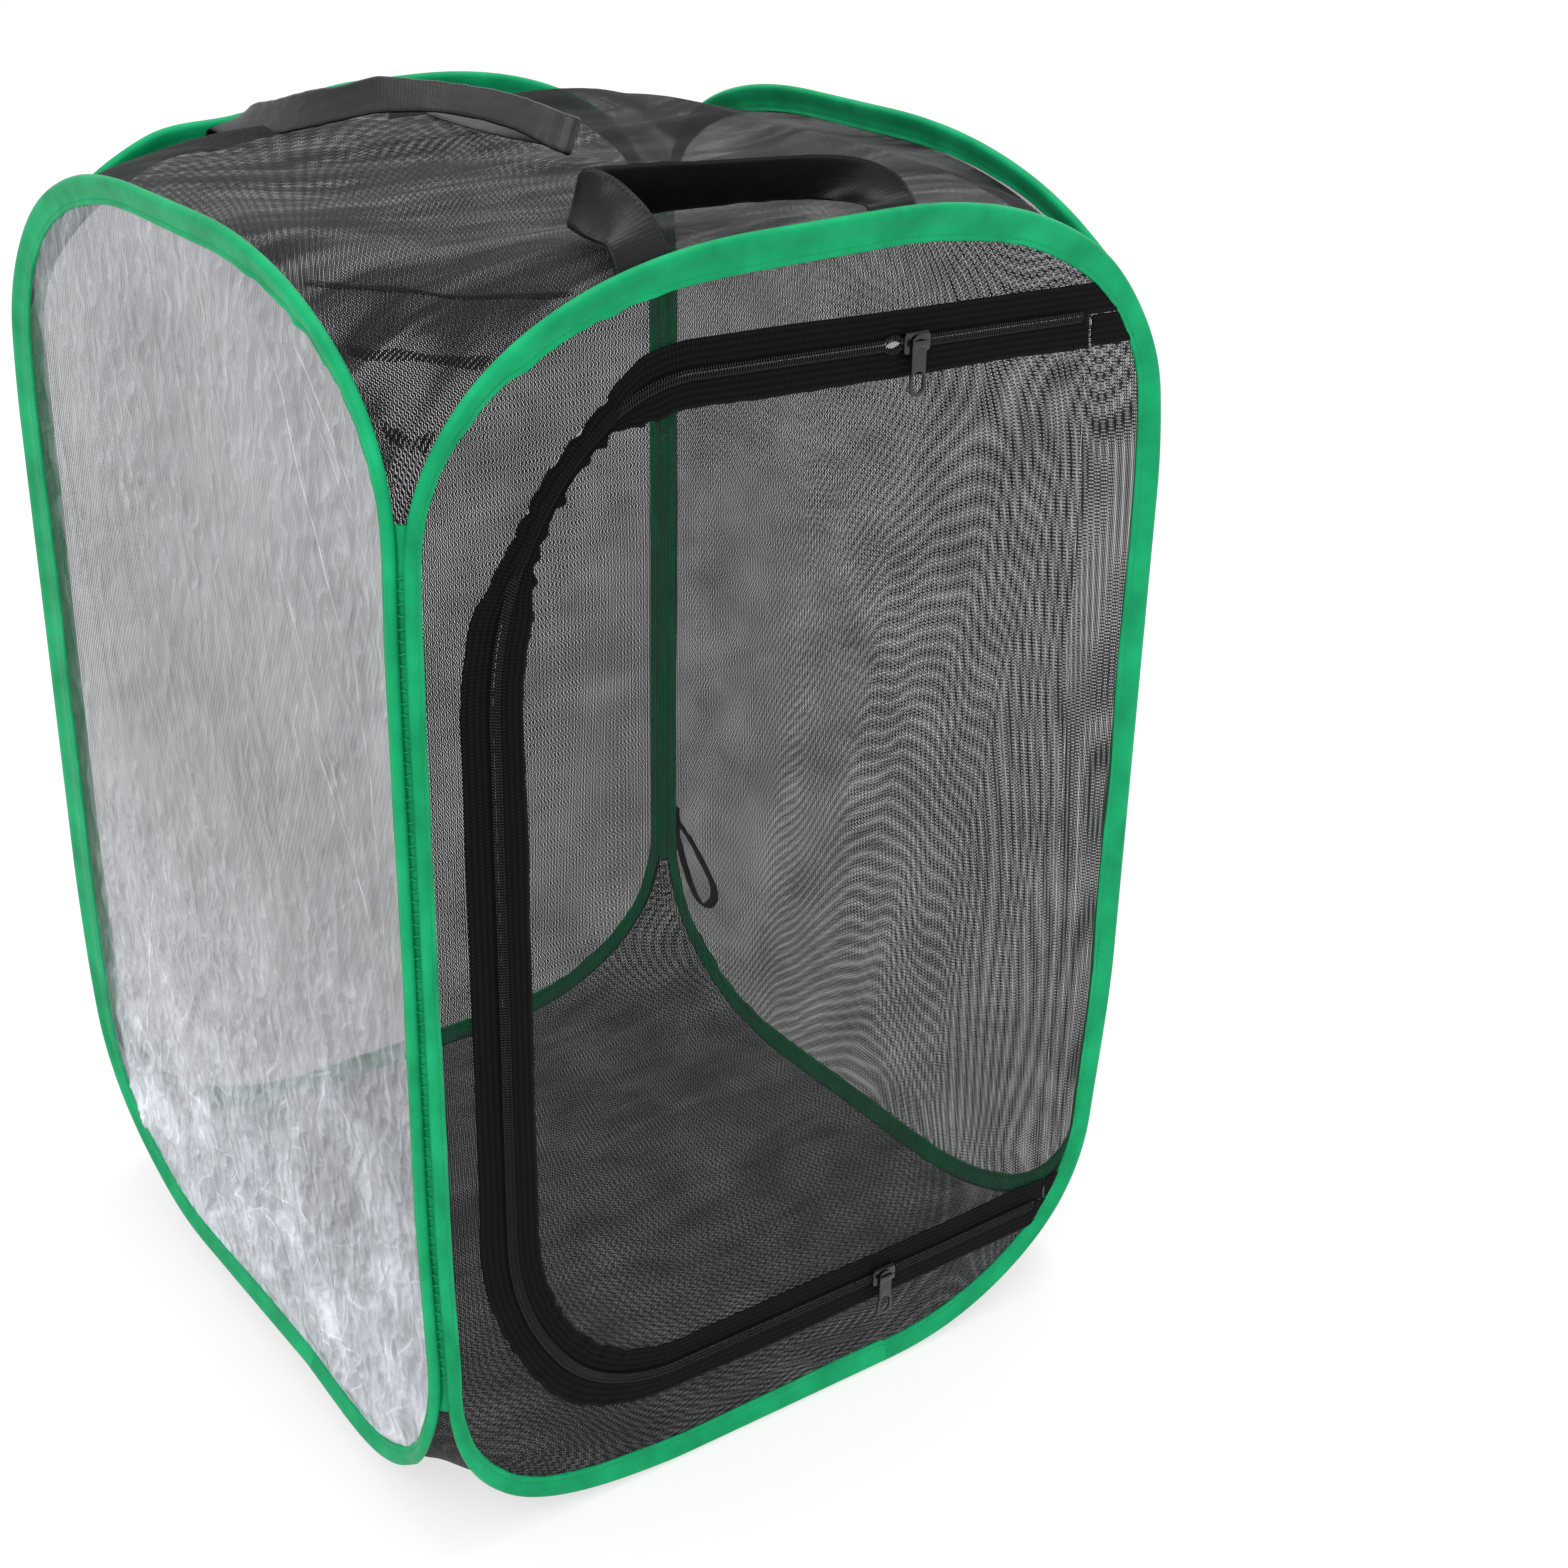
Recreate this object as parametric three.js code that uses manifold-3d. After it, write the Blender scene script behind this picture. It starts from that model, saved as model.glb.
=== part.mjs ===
// Pop-up insect cage. Four spring-steel wire hoops, each bound in folded fabric and filled with mesh or
// clear film, stand as the upright walls and are sewn together along their upright edges. Mesh closes the
// top and the floor. The front wall has a door flap with a coil zip round three sides.
// Millimetres, +Z up. The origin is the middle of the floor's underside, and the door is on the -Y side.
import * as THREE from 'three';
import { mergeVertices } from 'three/addons/utils/BufferGeometryUtils.js';
import Module from 'manifold-3d';

const wasm = await Module();
wasm.setup();

// Driving dimensions of the cage
const width = 400;
const depth = 400;
const height = 600;
const gap = 0.3;

// Rounded corners of every hoop, measured at the wire. Between two corners lies a level run.
const topRunLength = 62.6;
const topCornerDown = 104;
const bottomRunLength = 122.6;
const bottomCornerUp = 100;
const cornerFullness = 2.15;
const cornerSteps = 8;

// Binding: a folded fabric tube round the wire with two flanges that grip the panel's edge
const bindingThickness = 5.6;
const bindingBoreRadius = 2.3;
const bindingFabric = 0.6;
const bindingWidthTop = 16;
const bindingWidthSide = 9;
const bindingWidthBottom = 13;
const noseSteps = 6;

// Spring wire and the crimped sleeve that joins its ends
const wireRadius = 1.1;
const wireSides = 6;
const ferruleOuterRadius = 1.75;
const ferruleInnerRadius = 1.45;
const ferruleLength = 20;
const ferruleSides = 10;

// Fabric panels
const panelThickness = 0.7;
const floorThickness = 0.8;
const gussetTuck = 1.2;

// Door and zip on the front wall. The zip's middle line runs round three sides of the door, and its places
// are measured in from the cage's sides, top and bottom.
const zipLeftInset = 40;
const zipTopLeftDrop = 52;
const zipTopRightDrop = 62;
const zipBottomHeight = 59;
const zipTopCornerAcross = 95;
const zipTopCornerDown = 127;
const zipBottomCornerAcross = 90;
const zipBottomCornerUp = 110;
const hingeTopInset = 50;
const hingeBottomInset = 34;
const hingeSlit = 0.45;
const doorCornerSteps = 8;
const zipParting = 0.3;
const tapeWidth = 14.5;
const tapeThickness = 0.6;
const tapeOverlap = 10.5;
const tapeEndSetback = 3;
const coilWidth = 2.4;
const coilThickness = 1.6;
const coilEndSetback = 5;
const stopLength = 3;
const stopWidth = 3.6;

// Zip sliders and their pulls. The setbacks are measured from the door's fold line.
const topSliderSetback = 101;
const bottomSliderSetback = 110;
const sliderLength = 14;
const sliderWidth = 9;
const sliderPlate = 1.1;
const sliderFlange = 0.9;
const sliderPostRadius = 1.4;
const sliderCapRadius = 2.7;
const sliderCapThickness = 0.9;
const pullThickness = 1.2;
const pullEyeRadius = 1.75;
const pullNeckWidth = 7.6;
const pullEndWidth = 9.6;
const pullReach = 23;
const pullWindowRadius = 2.8;
const pullWindowLength = 3.5;
const roundSides = 16;

// Carrying straps on the top of the front and back hoops
const strapWidth = 26;
const strapThickness = 1.2;
const frontHandleSpread = 84;
const frontHandleReach = 44;
const backHandleSpread = 75;
const backHandleReach = 230;
const backHandleLift = 8;

// Elastic hanging loop at the back right edge
const elasticWidth = 8;
const elasticThickness = 1.4;

// Sizes that follow from the ones above
const noseRadius = bindingThickness / 2;
const frontPlane = depth / 2 - noseRadius;
const sidePlane = width / 2 - noseRadius;
const insideAcross = width / 2 - bindingThickness - gap;
const insideDeep = depth / 2 - bindingThickness - gap;
const wireAcross = insideAcross - noseRadius;
const wireDeep = insideDeep - noseRadius;
const wireBottom = noseRadius;
const wireTop = height - noseRadius;
const slotHalf = panelThickness / 2 + gap;
const flangeHalf = slotHalf + bindingFabric;
const panelEdgeInset = noseRadius + gap;
const pivotAcross = insideAcross + gap / 2;
const pivotDeep = insideDeep + gap / 2;
const zipLeft = zipLeftInset - width / 2;
const zipTopLeftHeight = height - zipTopLeftDrop;
const zipTopRightHeight = height - zipTopRightDrop;
const hingeTopAcross = width / 2 - hingeTopInset;
const hingeBottomAcross = width / 2 - hingeBottomInset;

// Depths of the layers on the outside of the front wall, as distances in front of the hoop's plane
const meshFront = panelThickness / 2;
const tapeBack = meshFront + gap;
const tapeFront = tapeBack + tapeThickness;
const coilBack = tapeFront + gap;
const coilFront = coilBack + coilThickness;
const plateBack = coilFront + gap;
const plateFront = plateBack + sliderPlate;
const pullBack = plateFront + gap;
const pullFront = pullBack + pullThickness;
const capBack = pullFront + gap;
const capFront = capBack + sliderCapThickness;

// Finishes
const finish = (color, roughness, metalness) => new THREE.MeshStandardMaterial({ color, roughness, metalness });
const greenBinding = finish(0x1fae6e, 0.7, 0);
const blackMesh = finish(0x4b4c50, 0.85, 0);
const floorMesh = finish(0x3e3f42, 0.85, 0);
const clearFilm = finish(0xc9cfcc, 0.25, 0);
const blackTape = finish(0x1c1c1e, 0.8, 0);
const blackCoil = finish(0x232326, 0.4, 0);
const blackMetal = finish(0x151517, 0.35, 0.6);
const springSteel = finish(0xa9adb0, 0.35, 1);
const satinStrap = finish(0x1b1a1d, 0.45, 0);
const blackElastic = finish(0x1a1a1c, 0.7, 0);
const seamThread = finish(0x178a55, 0.8, 0);

const cage = new THREE.Group();

function addMesh(parent, name, geometry, material) {
  const mesh = new THREE.Mesh(geometry, material);
  mesh.name = name;
  parent.add(mesh);
  return mesh;
}

function indexedGeometry(points, triangles) {
  const geometry = new THREE.BufferGeometry();
  geometry.setAttribute('position', new THREE.Float32BufferAttribute(points.flatMap((p) => [p.x, p.y, p.z]), 3));
  geometry.setIndex(triangles.flat());
  return geometry;
}

// Joins rings of points into a skin: each ring is one cross-section, and the ends are capped by a fan or
// joined to each other.
function skin(rings, closed) {
  const sides = rings[0].length;
  const points = rings.flat();
  const triangles = [];
  const last = closed ? rings.length : rings.length - 1;
  for (let i = 0; i < last; i += 1) {
    const next = (i + 1) % rings.length;
    for (let j = 0; j < sides; j += 1) {
      const beside = (j + 1) % sides;
      const a = i * sides + j;
      const b = i * sides + beside;
      const c = next * sides + beside;
      const d = next * sides + j;
      triangles.push([a, c, b], [a, d, c]);
    }
  }
  if (!closed) {
    const end = (rings.length - 1) * sides;
    for (let j = 1; j < sides - 1; j += 1) {
      triangles.push([0, j, j + 1], [end, end + j + 1, end + j]);
    }
  }
  return indexedGeometry(points, triangles);
}

// Gives a surface a second side and walls along its open edges
function thicken(outside, inside, triangles) {
  const count = outside.length;
  const edges = new Set(triangles.flatMap(([a, b, c]) => [`${a},${b}`, `${b},${c}`, `${c},${a}`]));
  const faces = [...triangles];
  for (const [a, b, c] of triangles) {
    faces.push([count + a, count + c, count + b]);
    for (const [from, to] of [[a, b], [b, c], [c, a]]) {
      if (!edges.has(`${to},${from}`)) {
        faces.push([to, from, count + from], [to, count + from, count + to]);
      }
    }
  }
  return indexedGeometry([...outside, ...inside], faces);
}

// An upright plate: the outline lies in X and Z, and the plate goes from its back face towards -Y
function plate(outline, holes, back, thickness) {
  const shape = new THREE.Shape(outline.map(([x, z]) => new THREE.Vector2(x, z)));
  shape.holes = holes.map((hole) => new THREE.Path(hole.map(([x, z]) => new THREE.Vector2(x, z))));
  const geometry = new THREE.ExtrudeGeometry(shape, { depth: thickness, bevelEnabled: false, steps: 1 });
  geometry.rotateX(Math.PI / 2);
  geometry.translate(0, back, 0);
  return geometry;
}

function toSolid(geometry) {
  const plain = geometry.clone();
  plain.deleteAttribute('normal');
  plain.deleteAttribute('uv');
  const merged = mergeVertices(plain);
  const vertProperties = new Float32Array(merged.attributes.position.array);
  const triVerts = new Uint32Array(merged.index.array);
  return new wasm.Manifold(new wasm.Mesh({ numProp: 3, vertProperties, triVerts }));
}

function fromSolid(solid) {
  const mesh = solid.getMesh();
  const geometry = new THREE.BufferGeometry();
  const places = [];
  for (let i = 0; i < mesh.vertProperties.length; i += mesh.numProp) {
    places.push(mesh.vertProperties[i], mesh.vertProperties[i + 1], mesh.vertProperties[i + 2]);
  }
  geometry.setAttribute('position', new THREE.Float32BufferAttribute(places, 3));
  geometry.setIndex([...mesh.triVerts]);
  return geometry;
}

// A quarter of a rounded corner, as shares of its two radii and the direction that faces outwards. At 0 it
// leaves the upright side, and at 1 it meets the level run.
function cornerStation(share, across, along) {
  const turn = share * Math.PI / 2;
  const acrossShare = Math.pow(Math.max(Math.cos(turn), 0), 2 / cornerFullness);
  const alongShare = Math.pow(Math.max(Math.sin(turn), 0), 2 / cornerFullness);
  const facing = new THREE.Vector2(
    Math.pow(acrossShare, cornerFullness - 1) / across,
    Math.pow(alongShare, cornerFullness - 1) / along,
  ).normalize();
  return { acrossShare, alongShare, facing };
}

// Stations round one hoop, seen from outside the cage: from the middle of the bottom run to the right, up,
// over the top and back. Each holds its place at the wire, its outward direction and the binding's width.
function hoopStations(halfSpan) {
  const corner = (rightSign, atTop, share) => {
    const across = halfSpan - (atTop ? topRunLength : bottomRunLength) / 2;
    const along = atTop ? topCornerDown : bottomCornerUp;
    const { acrossShare, alongShare, facing } = cornerStation(share, across, along);
    const level = atTop ? wireTop - along : wireBottom + along;
    const upSign = atTop ? 1 : -1;
    const runWidth = atTop ? bindingWidthTop : bindingWidthBottom;
    return {
      x: rightSign * (halfSpan - across + across * acrossShare),
      z: level + upSign * along * alongShare,
      outX: rightSign * facing.x,
      outZ: upSign * facing.y,
      bindingWidth: bindingWidthSide + (runWidth - bindingWidthSide) * share,
    };
  };
  const shares = Array.from({ length: cornerSteps + 1 }, (unused, i) => i / cornerSteps);
  const down = [...shares].reverse();
  return [
    ...down.map((share) => corner(1, false, share)),
    ...shares.map((share) => corner(1, true, share)),
    ...down.map((share) => corner(-1, true, share)),
    ...shares.map((share) => corner(-1, false, share)),
  ];
}

function atStation(station, out, forward) {
  return new THREE.Vector3(station.x + out * station.outX, forward, station.z + out * station.outZ);
}

function arc(radius, halfWidth, steps) {
  const start = Math.PI - Math.asin(halfWidth / radius);
  return Array.from({ length: steps + 1 }, (unused, i) => {
    const angle = start - 2 * start * i / steps;
    return [radius * Math.cos(angle), radius * Math.sin(angle)];
  });
}

function bindingRing(station, plane) {
  const tip = noseRadius - station.bindingWidth;
  const section = [
    [tip, flangeHalf],
    ...arc(noseRadius, flangeHalf, noseSteps),
    [tip, -flangeHalf],
    [tip, -slotHalf],
    ...arc(bindingBoreRadius, slotHalf, noseSteps).reverse(),
    [tip, slotHalf],
  ];
  return section.map(([out, side]) => atStation(station, out, plane + side));
}

function roundRing(station, plane, radius, sides) {
  return Array.from({ length: sides }, (unused, i) => {
    const angle = -2 * Math.PI * i / sides;
    return atStation(station, radius * Math.cos(angle), plane + radius * Math.sin(angle));
  });
}

function hoopOutline(stations, out) {
  return stations.map((station) => [station.x + out * station.outX, station.z + out * station.outZ]);
}

// The wire is one open length whose two ends meet inside the sleeve
function wireGeometry(stations, plane) {
  const bottom = { outX: 0, outZ: -1, z: wireBottom };
  const run = [{ ...bottom, x: gap }, ...stations, { ...bottom, x: -gap }];
  return skin(run.map((station) => roundRing(station, plane, wireRadius, wireSides)), false);
}

function ferruleGeometry(plane) {
  const half = ferruleLength / 2;
  const profile = [
    [ferruleInnerRadius, -half],
    [ferruleOuterRadius, -half],
    [ferruleOuterRadius, half],
    [ferruleInnerRadius, half],
    [ferruleInnerRadius, -half],
  ];
  const geometry = new THREE.LatheGeometry(profile.map(([r, y]) => new THREE.Vector2(r, y)), ferruleSides);
  geometry.rotateZ(Math.PI / 2);
  geometry.translate(0, plane, wireBottom);
  return geometry;
}

// One wall stands in a group of its own, modelled as the front wall and turned to its side of the cage
function wallGroup(turn) {
  const group = new THREE.Group();
  group.rotation.z = turn;
  cage.add(group);
  return group;
}

function addHoop(wall, side, halfSpan, planeDistance) {
  const stations = hoopStations(halfSpan);
  addMesh(wall, `${side}_binding`, skin(stations.map((s) => bindingRing(s, -planeDistance)), true), greenBinding);
  addMesh(wall, `${side}_hoop_wire`, wireGeometry(stations, -planeDistance), springSteel);
  addMesh(wall, `${side}_wire_ferrule`, ferruleGeometry(-planeDistance), springSteel);
  return stations;
}

function addWallPanel(wall, name, stations, planeDistance, material) {
  const outline = hoopOutline(stations, -panelEdgeInset);
  addMesh(wall, name, plate(outline, [], -planeDistance + panelThickness / 2, panelThickness), material);
}

const frontWall = wallGroup(0);
const rightWall = wallGroup(Math.PI / 2);
const backWall = wallGroup(Math.PI);
const leftWall = wallGroup(-Math.PI / 2);

const frontStations = addHoop(frontWall, 'front', wireAcross, frontPlane);
const rightStations = addHoop(rightWall, 'right', wireDeep, sidePlane);
const backStations = addHoop(backWall, 'back', wireAcross, frontPlane);
const leftStations = addHoop(leftWall, 'left', wireDeep, sidePlane);
addWallPanel(rightWall, 'right_mesh', rightStations, sidePlane, blackMesh);
addWallPanel(backWall, 'back_mesh', backStations, frontPlane, blackMesh);
addWallPanel(leftWall, 'left_window', leftStations, sidePlane, clearFilm);

// The door's fold line leans a little, from the lower end of the zip up to its upper end
function hingeAcross(z) {
  const share = (z - zipBottomHeight) / (zipTopRightHeight - zipBottomHeight);
  return hingeBottomAcross + (hingeTopAcross - hingeBottomAcross) * share;
}

const topRunLeft = zipLeft + zipTopCornerAcross;
const topRunSlope = (zipTopRightHeight - zipTopLeftHeight) / (hingeTopAcross - topRunLeft);
const topRunDirection = new THREE.Vector2(1, topRunSlope).normalize();

function topRunHeight(x) {
  return zipTopLeftHeight + topRunSlope * (x - topRunLeft);
}

// The zip's line, moved outwards from the door by out: along the top from the right, round the two corners on
// the left and along the bottom to the right. The two ends stop at the given distances from the fold line.
function zipLine(out, topSetback, bottomSetback) {
  const topNormal = new THREE.Vector2(-topRunDirection.y, topRunDirection.x);
  const topEnd = hingeAcross(zipTopRightHeight) - topSetback;
  const bottomEnd = hingeAcross(zipBottomHeight) - bottomSetback;
  const corner = (share, across, along, level, upSign) => {
    const turn = share * Math.PI / 2;
    const facing = new THREE.Vector2(Math.cos(turn) / across, Math.sin(turn) / along).normalize();
    return [
      zipLeft + across - across * Math.cos(turn) - out * facing.x,
      level + upSign * (along * Math.sin(turn) + out * facing.y),
    ];
  };
  const shares = Array.from({ length: doorCornerSteps + 1 }, (unused, i) => i / doorCornerSteps);
  const topLevel = zipTopLeftHeight - zipTopCornerDown;
  const bottomLevel = zipBottomHeight + zipBottomCornerUp;
  return [
    [topEnd + out * topNormal.x, topRunHeight(topEnd) + out * topNormal.y],
    ...[...shares].reverse().map((s) => corner(s, zipTopCornerAcross, zipTopCornerDown, topLevel, 1)),
    ...shares.map((s) => corner(s, zipBottomCornerAcross, zipBottomCornerUp, bottomLevel, -1)),
    [bottomEnd, zipBottomHeight - out],
  ];
}

function zipBand(inner, outer, setback) {
  return [...zipLine(outer, setback, setback), ...zipLine(inner, setback, setback).reverse()];
}

const meshSetback = zipParting + tapeWidth - tapeOverlap;
const innerContour = hoopOutline(
  frontStations.map((s) => ({ ...s, x: s.x - s.outX * s.bindingWidth, z: s.z - s.outZ * s.bindingWidth })),
  noseRadius - gap,
);
const meshBack = -frontPlane + panelThickness / 2;
const hoopEdge = hoopOutline(frontStations, -panelEdgeInset);
const doorway = zipLine(meshSetback, -hingeSlit, -hingeSlit);
addMesh(frontWall, 'front_mesh', plate(hoopEdge, [doorway], meshBack, panelThickness), blackMesh);
const doorOutline = zipLine(-meshSetback, hingeSlit, hingeSlit);
addMesh(frontWall, 'door_mesh', plate(doorOutline, [], meshBack, panelThickness), blackMesh);

// The outer tape runs on past the fold line at both ends and stops at the binding
function outerTapeOutline() {
  const reach = -wireAcross;
  const outerEdge = zipLine(zipParting + tapeWidth, reach, reach);
  const innerEdge = zipLine(zipParting, -tapeEndSetback, -tapeEndSetback).reverse();
  const bandEnd = zipLine(-zipParting - tapeWidth, -tapeEndSetback, -tapeEndSetback);
  const bandReach = zipLine(-zipParting - tapeWidth, reach, reach);
  const last = bandEnd.length - 1;
  return [...outerEdge, bandReach[last], bandEnd[last], ...innerEdge, bandEnd[0], bandReach[0]];
}
const tapePlaneBack = -frontPlane - tapeBack;
const coilPlaneBack = -frontPlane - coilBack;
const trimmer = toSolid(plate(innerContour, [], meshBack, panelThickness + tapeFront + gap));
const outerTape = toSolid(plate(outerTapeOutline(), [], tapePlaneBack, tapeThickness)).intersect(trimmer);
addMesh(frontWall, 'frame_zip_tape', fromSolid(outerTape), blackTape);
const innerTape = zipBand(-zipParting - tapeWidth, -zipParting, tapeEndSetback);
addMesh(frontWall, 'door_zip_tape', plate(innerTape, [], tapePlaneBack, tapeThickness), blackTape);
const outerCoil = zipBand(zipParting, zipParting + coilWidth, coilEndSetback);
addMesh(frontWall, 'frame_zip_coil', plate(outerCoil, [], coilPlaneBack, coilThickness), blackCoil);
const innerCoil = zipBand(-zipParting - coilWidth, -zipParting, coilEndSetback);
addMesh(frontWall, 'door_zip_coil', plate(innerCoil, [], coilPlaneBack, coilThickness), blackCoil);

// A frame that follows one straight run of the zip: local X goes along it towards the fold line
function runFrame(x, z, angle) {
  const group = new THREE.Group();
  group.position.set(x, -frontPlane, z);
  group.rotation.y = -angle;
  frontWall.add(group);
  return group;
}

const topRunAngle = Math.atan(topRunSlope);
const topCoilEnd = hingeTopAcross - coilEndSetback;
const bottomCoilEnd = hingeBottomAcross - coilEndSetback;

function stopGeometry(outSign) {
  const low = Math.min(outSign * zipParting, outSign * (zipParting + stopWidth));
  const near = gap;
  const far = gap + stopLength;
  const outline = [[near, low], [far, low], [far, low + stopWidth], [near, low + stopWidth]];
  return plate(outline, [], -coilBack, coilThickness);
}
const topStopFrame = runFrame(topCoilEnd, topRunHeight(topCoilEnd), topRunAngle);
const bottomStopFrame = runFrame(bottomCoilEnd, zipBottomHeight, 0);
addMesh(topStopFrame, 'top_zip_stop', stopGeometry(1), blackMetal);
addMesh(bottomStopFrame, 'bottom_zip_stop', stopGeometry(-1), blackMetal);

function box(x, y, z, sizeX, sizeY, sizeZ) {
  const geometry = new THREE.BoxGeometry(sizeX, sizeY, sizeZ);
  geometry.translate(x, y, z);
  return geometry;
}

// A round peg along Y, from one distance in front of the wall to another
function peg(radius, back, front) {
  const geometry = new THREE.CylinderGeometry(radius, radius, front - back, roundSides);
  geometry.translate(0, -(back + front) / 2, 0);
  return geometry;
}

// The slider's front plate with two flanges beside the coils, and the post and cap that hold its pull
function sliderGeometry() {
  const flangeDepth = plateFront - coilBack;
  const flangeAt = (sliderWidth - sliderFlange) / 2;
  const flangeMiddle = -(coilBack + plateFront) / 2;
  const plateMiddle = -(plateBack + plateFront) / 2;
  return fromSolid(
    toSolid(box(0, plateMiddle, 0, sliderLength, sliderPlate, sliderWidth))
      .add(toSolid(box(0, flangeMiddle, flangeAt, sliderLength, flangeDepth, sliderFlange)))
      .add(toSolid(box(0, flangeMiddle, -flangeAt, sliderLength, flangeDepth, sliderFlange)))
      .add(toSolid(peg(sliderPostRadius, plateBack, capFront)))
      .add(toSolid(peg(sliderCapRadius, capBack, capFront))),
  );
}

function circle(radius, x, z) {
  return Array.from({ length: roundSides }, (unused, i) => {
    const angle = 2 * Math.PI * i / roundSides;
    return [x + radius * Math.cos(angle), z + radius * Math.sin(angle)];
  });
}

// The pull hangs straight down from the slider's post: a neck with an eye, and a wider end with a window
function pullGeometry() {
  const neckHalf = pullNeckWidth / 2;
  const endHalf = pullEndWidth / 2;
  const shoulder = -(pullReach - pullWindowLength - 2 * pullWindowRadius);
  const endCentre = -pullReach + endHalf;
  const halfTurn = (radius, x, z, start) => Array.from({ length: roundSides / 2 + 1 }, (unused, i) => {
    const angle = start + 2 * Math.PI * i / roundSides;
    return [x + radius * Math.cos(angle), z + radius * Math.sin(angle)];
  });
  const outline = [
    ...halfTurn(neckHalf, 0, 0, 0),
    [-neckHalf, shoulder],
    ...halfTurn(endHalf, 0, endCentre, Math.PI),
    [neckHalf, shoulder],
  ];
  const windowHoles = [
    ...halfTurn(pullWindowRadius, 0, endCentre + pullWindowLength, 0),
    ...halfTurn(pullWindowRadius, 0, endCentre, Math.PI),
  ];
  return plate(outline, [circle(pullEyeRadius, 0, 0), windowHoles], -pullBack, pullThickness);
}

const topSliderAcross = hingeTopAcross - topSliderSetback;
const bottomSliderAcross = hingeBottomAcross - bottomSliderSetback;
const topSliderFrame = runFrame(topSliderAcross, topRunHeight(topSliderAcross), topRunAngle);
const bottomSliderFrame = runFrame(bottomSliderAcross, zipBottomHeight, 0);
addMesh(topSliderFrame, 'top_slider', sliderGeometry(), blackMetal);
addMesh(bottomSliderFrame, 'bottom_slider', sliderGeometry(), blackMetal);
const topPull = addMesh(topSliderFrame, 'top_slider_pull', pullGeometry(), blackMetal);
topPull.rotation.y = topRunAngle;
addMesh(bottomSliderFrame, 'bottom_slider_pull', pullGeometry(), blackMetal);

// The four upright seams that tie neighbouring bindings together, round the line that both fold about
function addCornerSeam(name, x, y) {
  const reach = Math.hypot(gap / 2 + noseRadius, gap / 2 + noseRadius);
  const radius = reach - noseRadius - gap;
  const low = wireBottom + bottomCornerUp;
  const high = wireTop - topCornerDown;
  const geometry = new THREE.CylinderGeometry(radius, radius, high - low, roundSides);
  geometry.rotateX(Math.PI / 2);
  geometry.translate(x, y, (low + high) / 2);
  addMesh(cage, name, geometry, seamThread);
}
addCornerSeam('front_left_seam', -pivotAcross, -pivotDeep);
addCornerSeam('front_right_seam', pivotAcross, -pivotDeep);
addCornerSeam('back_right_seam', pivotAcross, pivotDeep);
addCornerSeam('back_left_seam', -pivotAcross, pivotDeep);

// The top and the floor: flat in the middle, and each corner rolls over to meet the two round hoop corners
// along straight level lines
function cornerSheet(atTop, outAtRun, outAtSide, thickness) {
  const halfRun = (atTop ? topRunLength : bottomRunLength) / 2;
  const along = atTop ? topCornerDown : bottomCornerUp;
  const level = atTop ? wireTop - along : wireBottom + along;
  const upSign = atTop ? 1 : -1;
  const rimPlace = (share, halfSpan, out) => {
    const across = halfSpan - halfRun;
    const { acrossShare, alongShare, facing } = cornerStation(share, across, along);
    return {
      reach: halfRun + across * acrossShare + out * facing.x,
      z: level + upSign * (along * alongShare + out * facing.y),
      facing,
    };
  };
  const outside = [];
  const inside = [];
  const triangles = [];
  const rim = [];
  for (const [signX, signY] of [[-1, -1], [1, -1], [1, 1], [-1, 1]]) {
    const start = outside.length;
    for (let i = 0; i <= cornerSteps; i += 1) {
      const share = i / cornerSteps;
      const out = outAtSide + (outAtRun - outAtSide) * share;
      const front = rimPlace(share, wireAcross, out);
      const side = rimPlace(share, wireDeep, out);
      const rise = (front.facing.y + side.facing.y) / 2;
      const normal = new THREE.Vector3(signX * front.facing.x, signY * side.facing.x, upSign * rise).normalize();
      const ends = [
        new THREE.Vector3(signX * front.reach, signY * insideDeep, front.z),
        new THREE.Vector3(signX * insideAcross, signY * side.reach, side.z),
      ];
      for (const end of ends) {
        outside.push(end);
        inside.push(end.clone().addScaledVector(normal, -thickness));
      }
    }
    for (let i = 0; i < cornerSteps; i += 1) {
      const a = start + 2 * i;
      const quad = [[a, a + 2, a + 3], [a, a + 3, a + 1]];
      const mirrored = signX * signY * upSign < 0;
      triangles.push(...quad.map(([p, q, r]) => (mirrored ? [p, r, q] : [p, q, r])));
    }
    const last = start + 2 * cornerSteps;
    rim.push(...(signX * signY > 0 ? [last + 1, last] : [last, last + 1]));
  }
  for (let i = 1; i < rim.length - 1; i += 1) {
    triangles.push(upSign > 0 ? [rim[0], rim[i], rim[i + 1]] : [rim[0], rim[i + 1], rim[i]]);
  }
  return thicken(outside, inside, triangles);
}
addMesh(cage, 'top_mesh', cornerSheet(true, 0, 0, panelThickness), blackMesh);
addMesh(cage, 'floor_mesh', cornerSheet(false, noseRadius, noseRadius - gussetTuck, floorThickness), floorMesh);

// A flat band swept through stations. Each station has its middle point and the direction of its width.
function bandGeometry(stations, bandWidth, thickness) {
  const rings = stations.map((station, i) => {
    const before = stations[Math.max(i - 1, 0)].middle;
    const after = stations[Math.min(i + 1, stations.length - 1)].middle;
    const along = new THREE.Vector3().subVectors(after, before).normalize();
    const through = new THREE.Vector3().crossVectors(along, station.across).normalize();
    const corner = (acrossSign, throughSign) => station.middle.clone()
      .addScaledVector(station.across, acrossSign * bandWidth / 2)
      .addScaledVector(through, throughSign * thickness / 2);
    return [corner(1, 1), corner(1, -1), corner(-1, -1), corner(-1, 1)];
  });
  return skin(rings, false);
}

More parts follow.
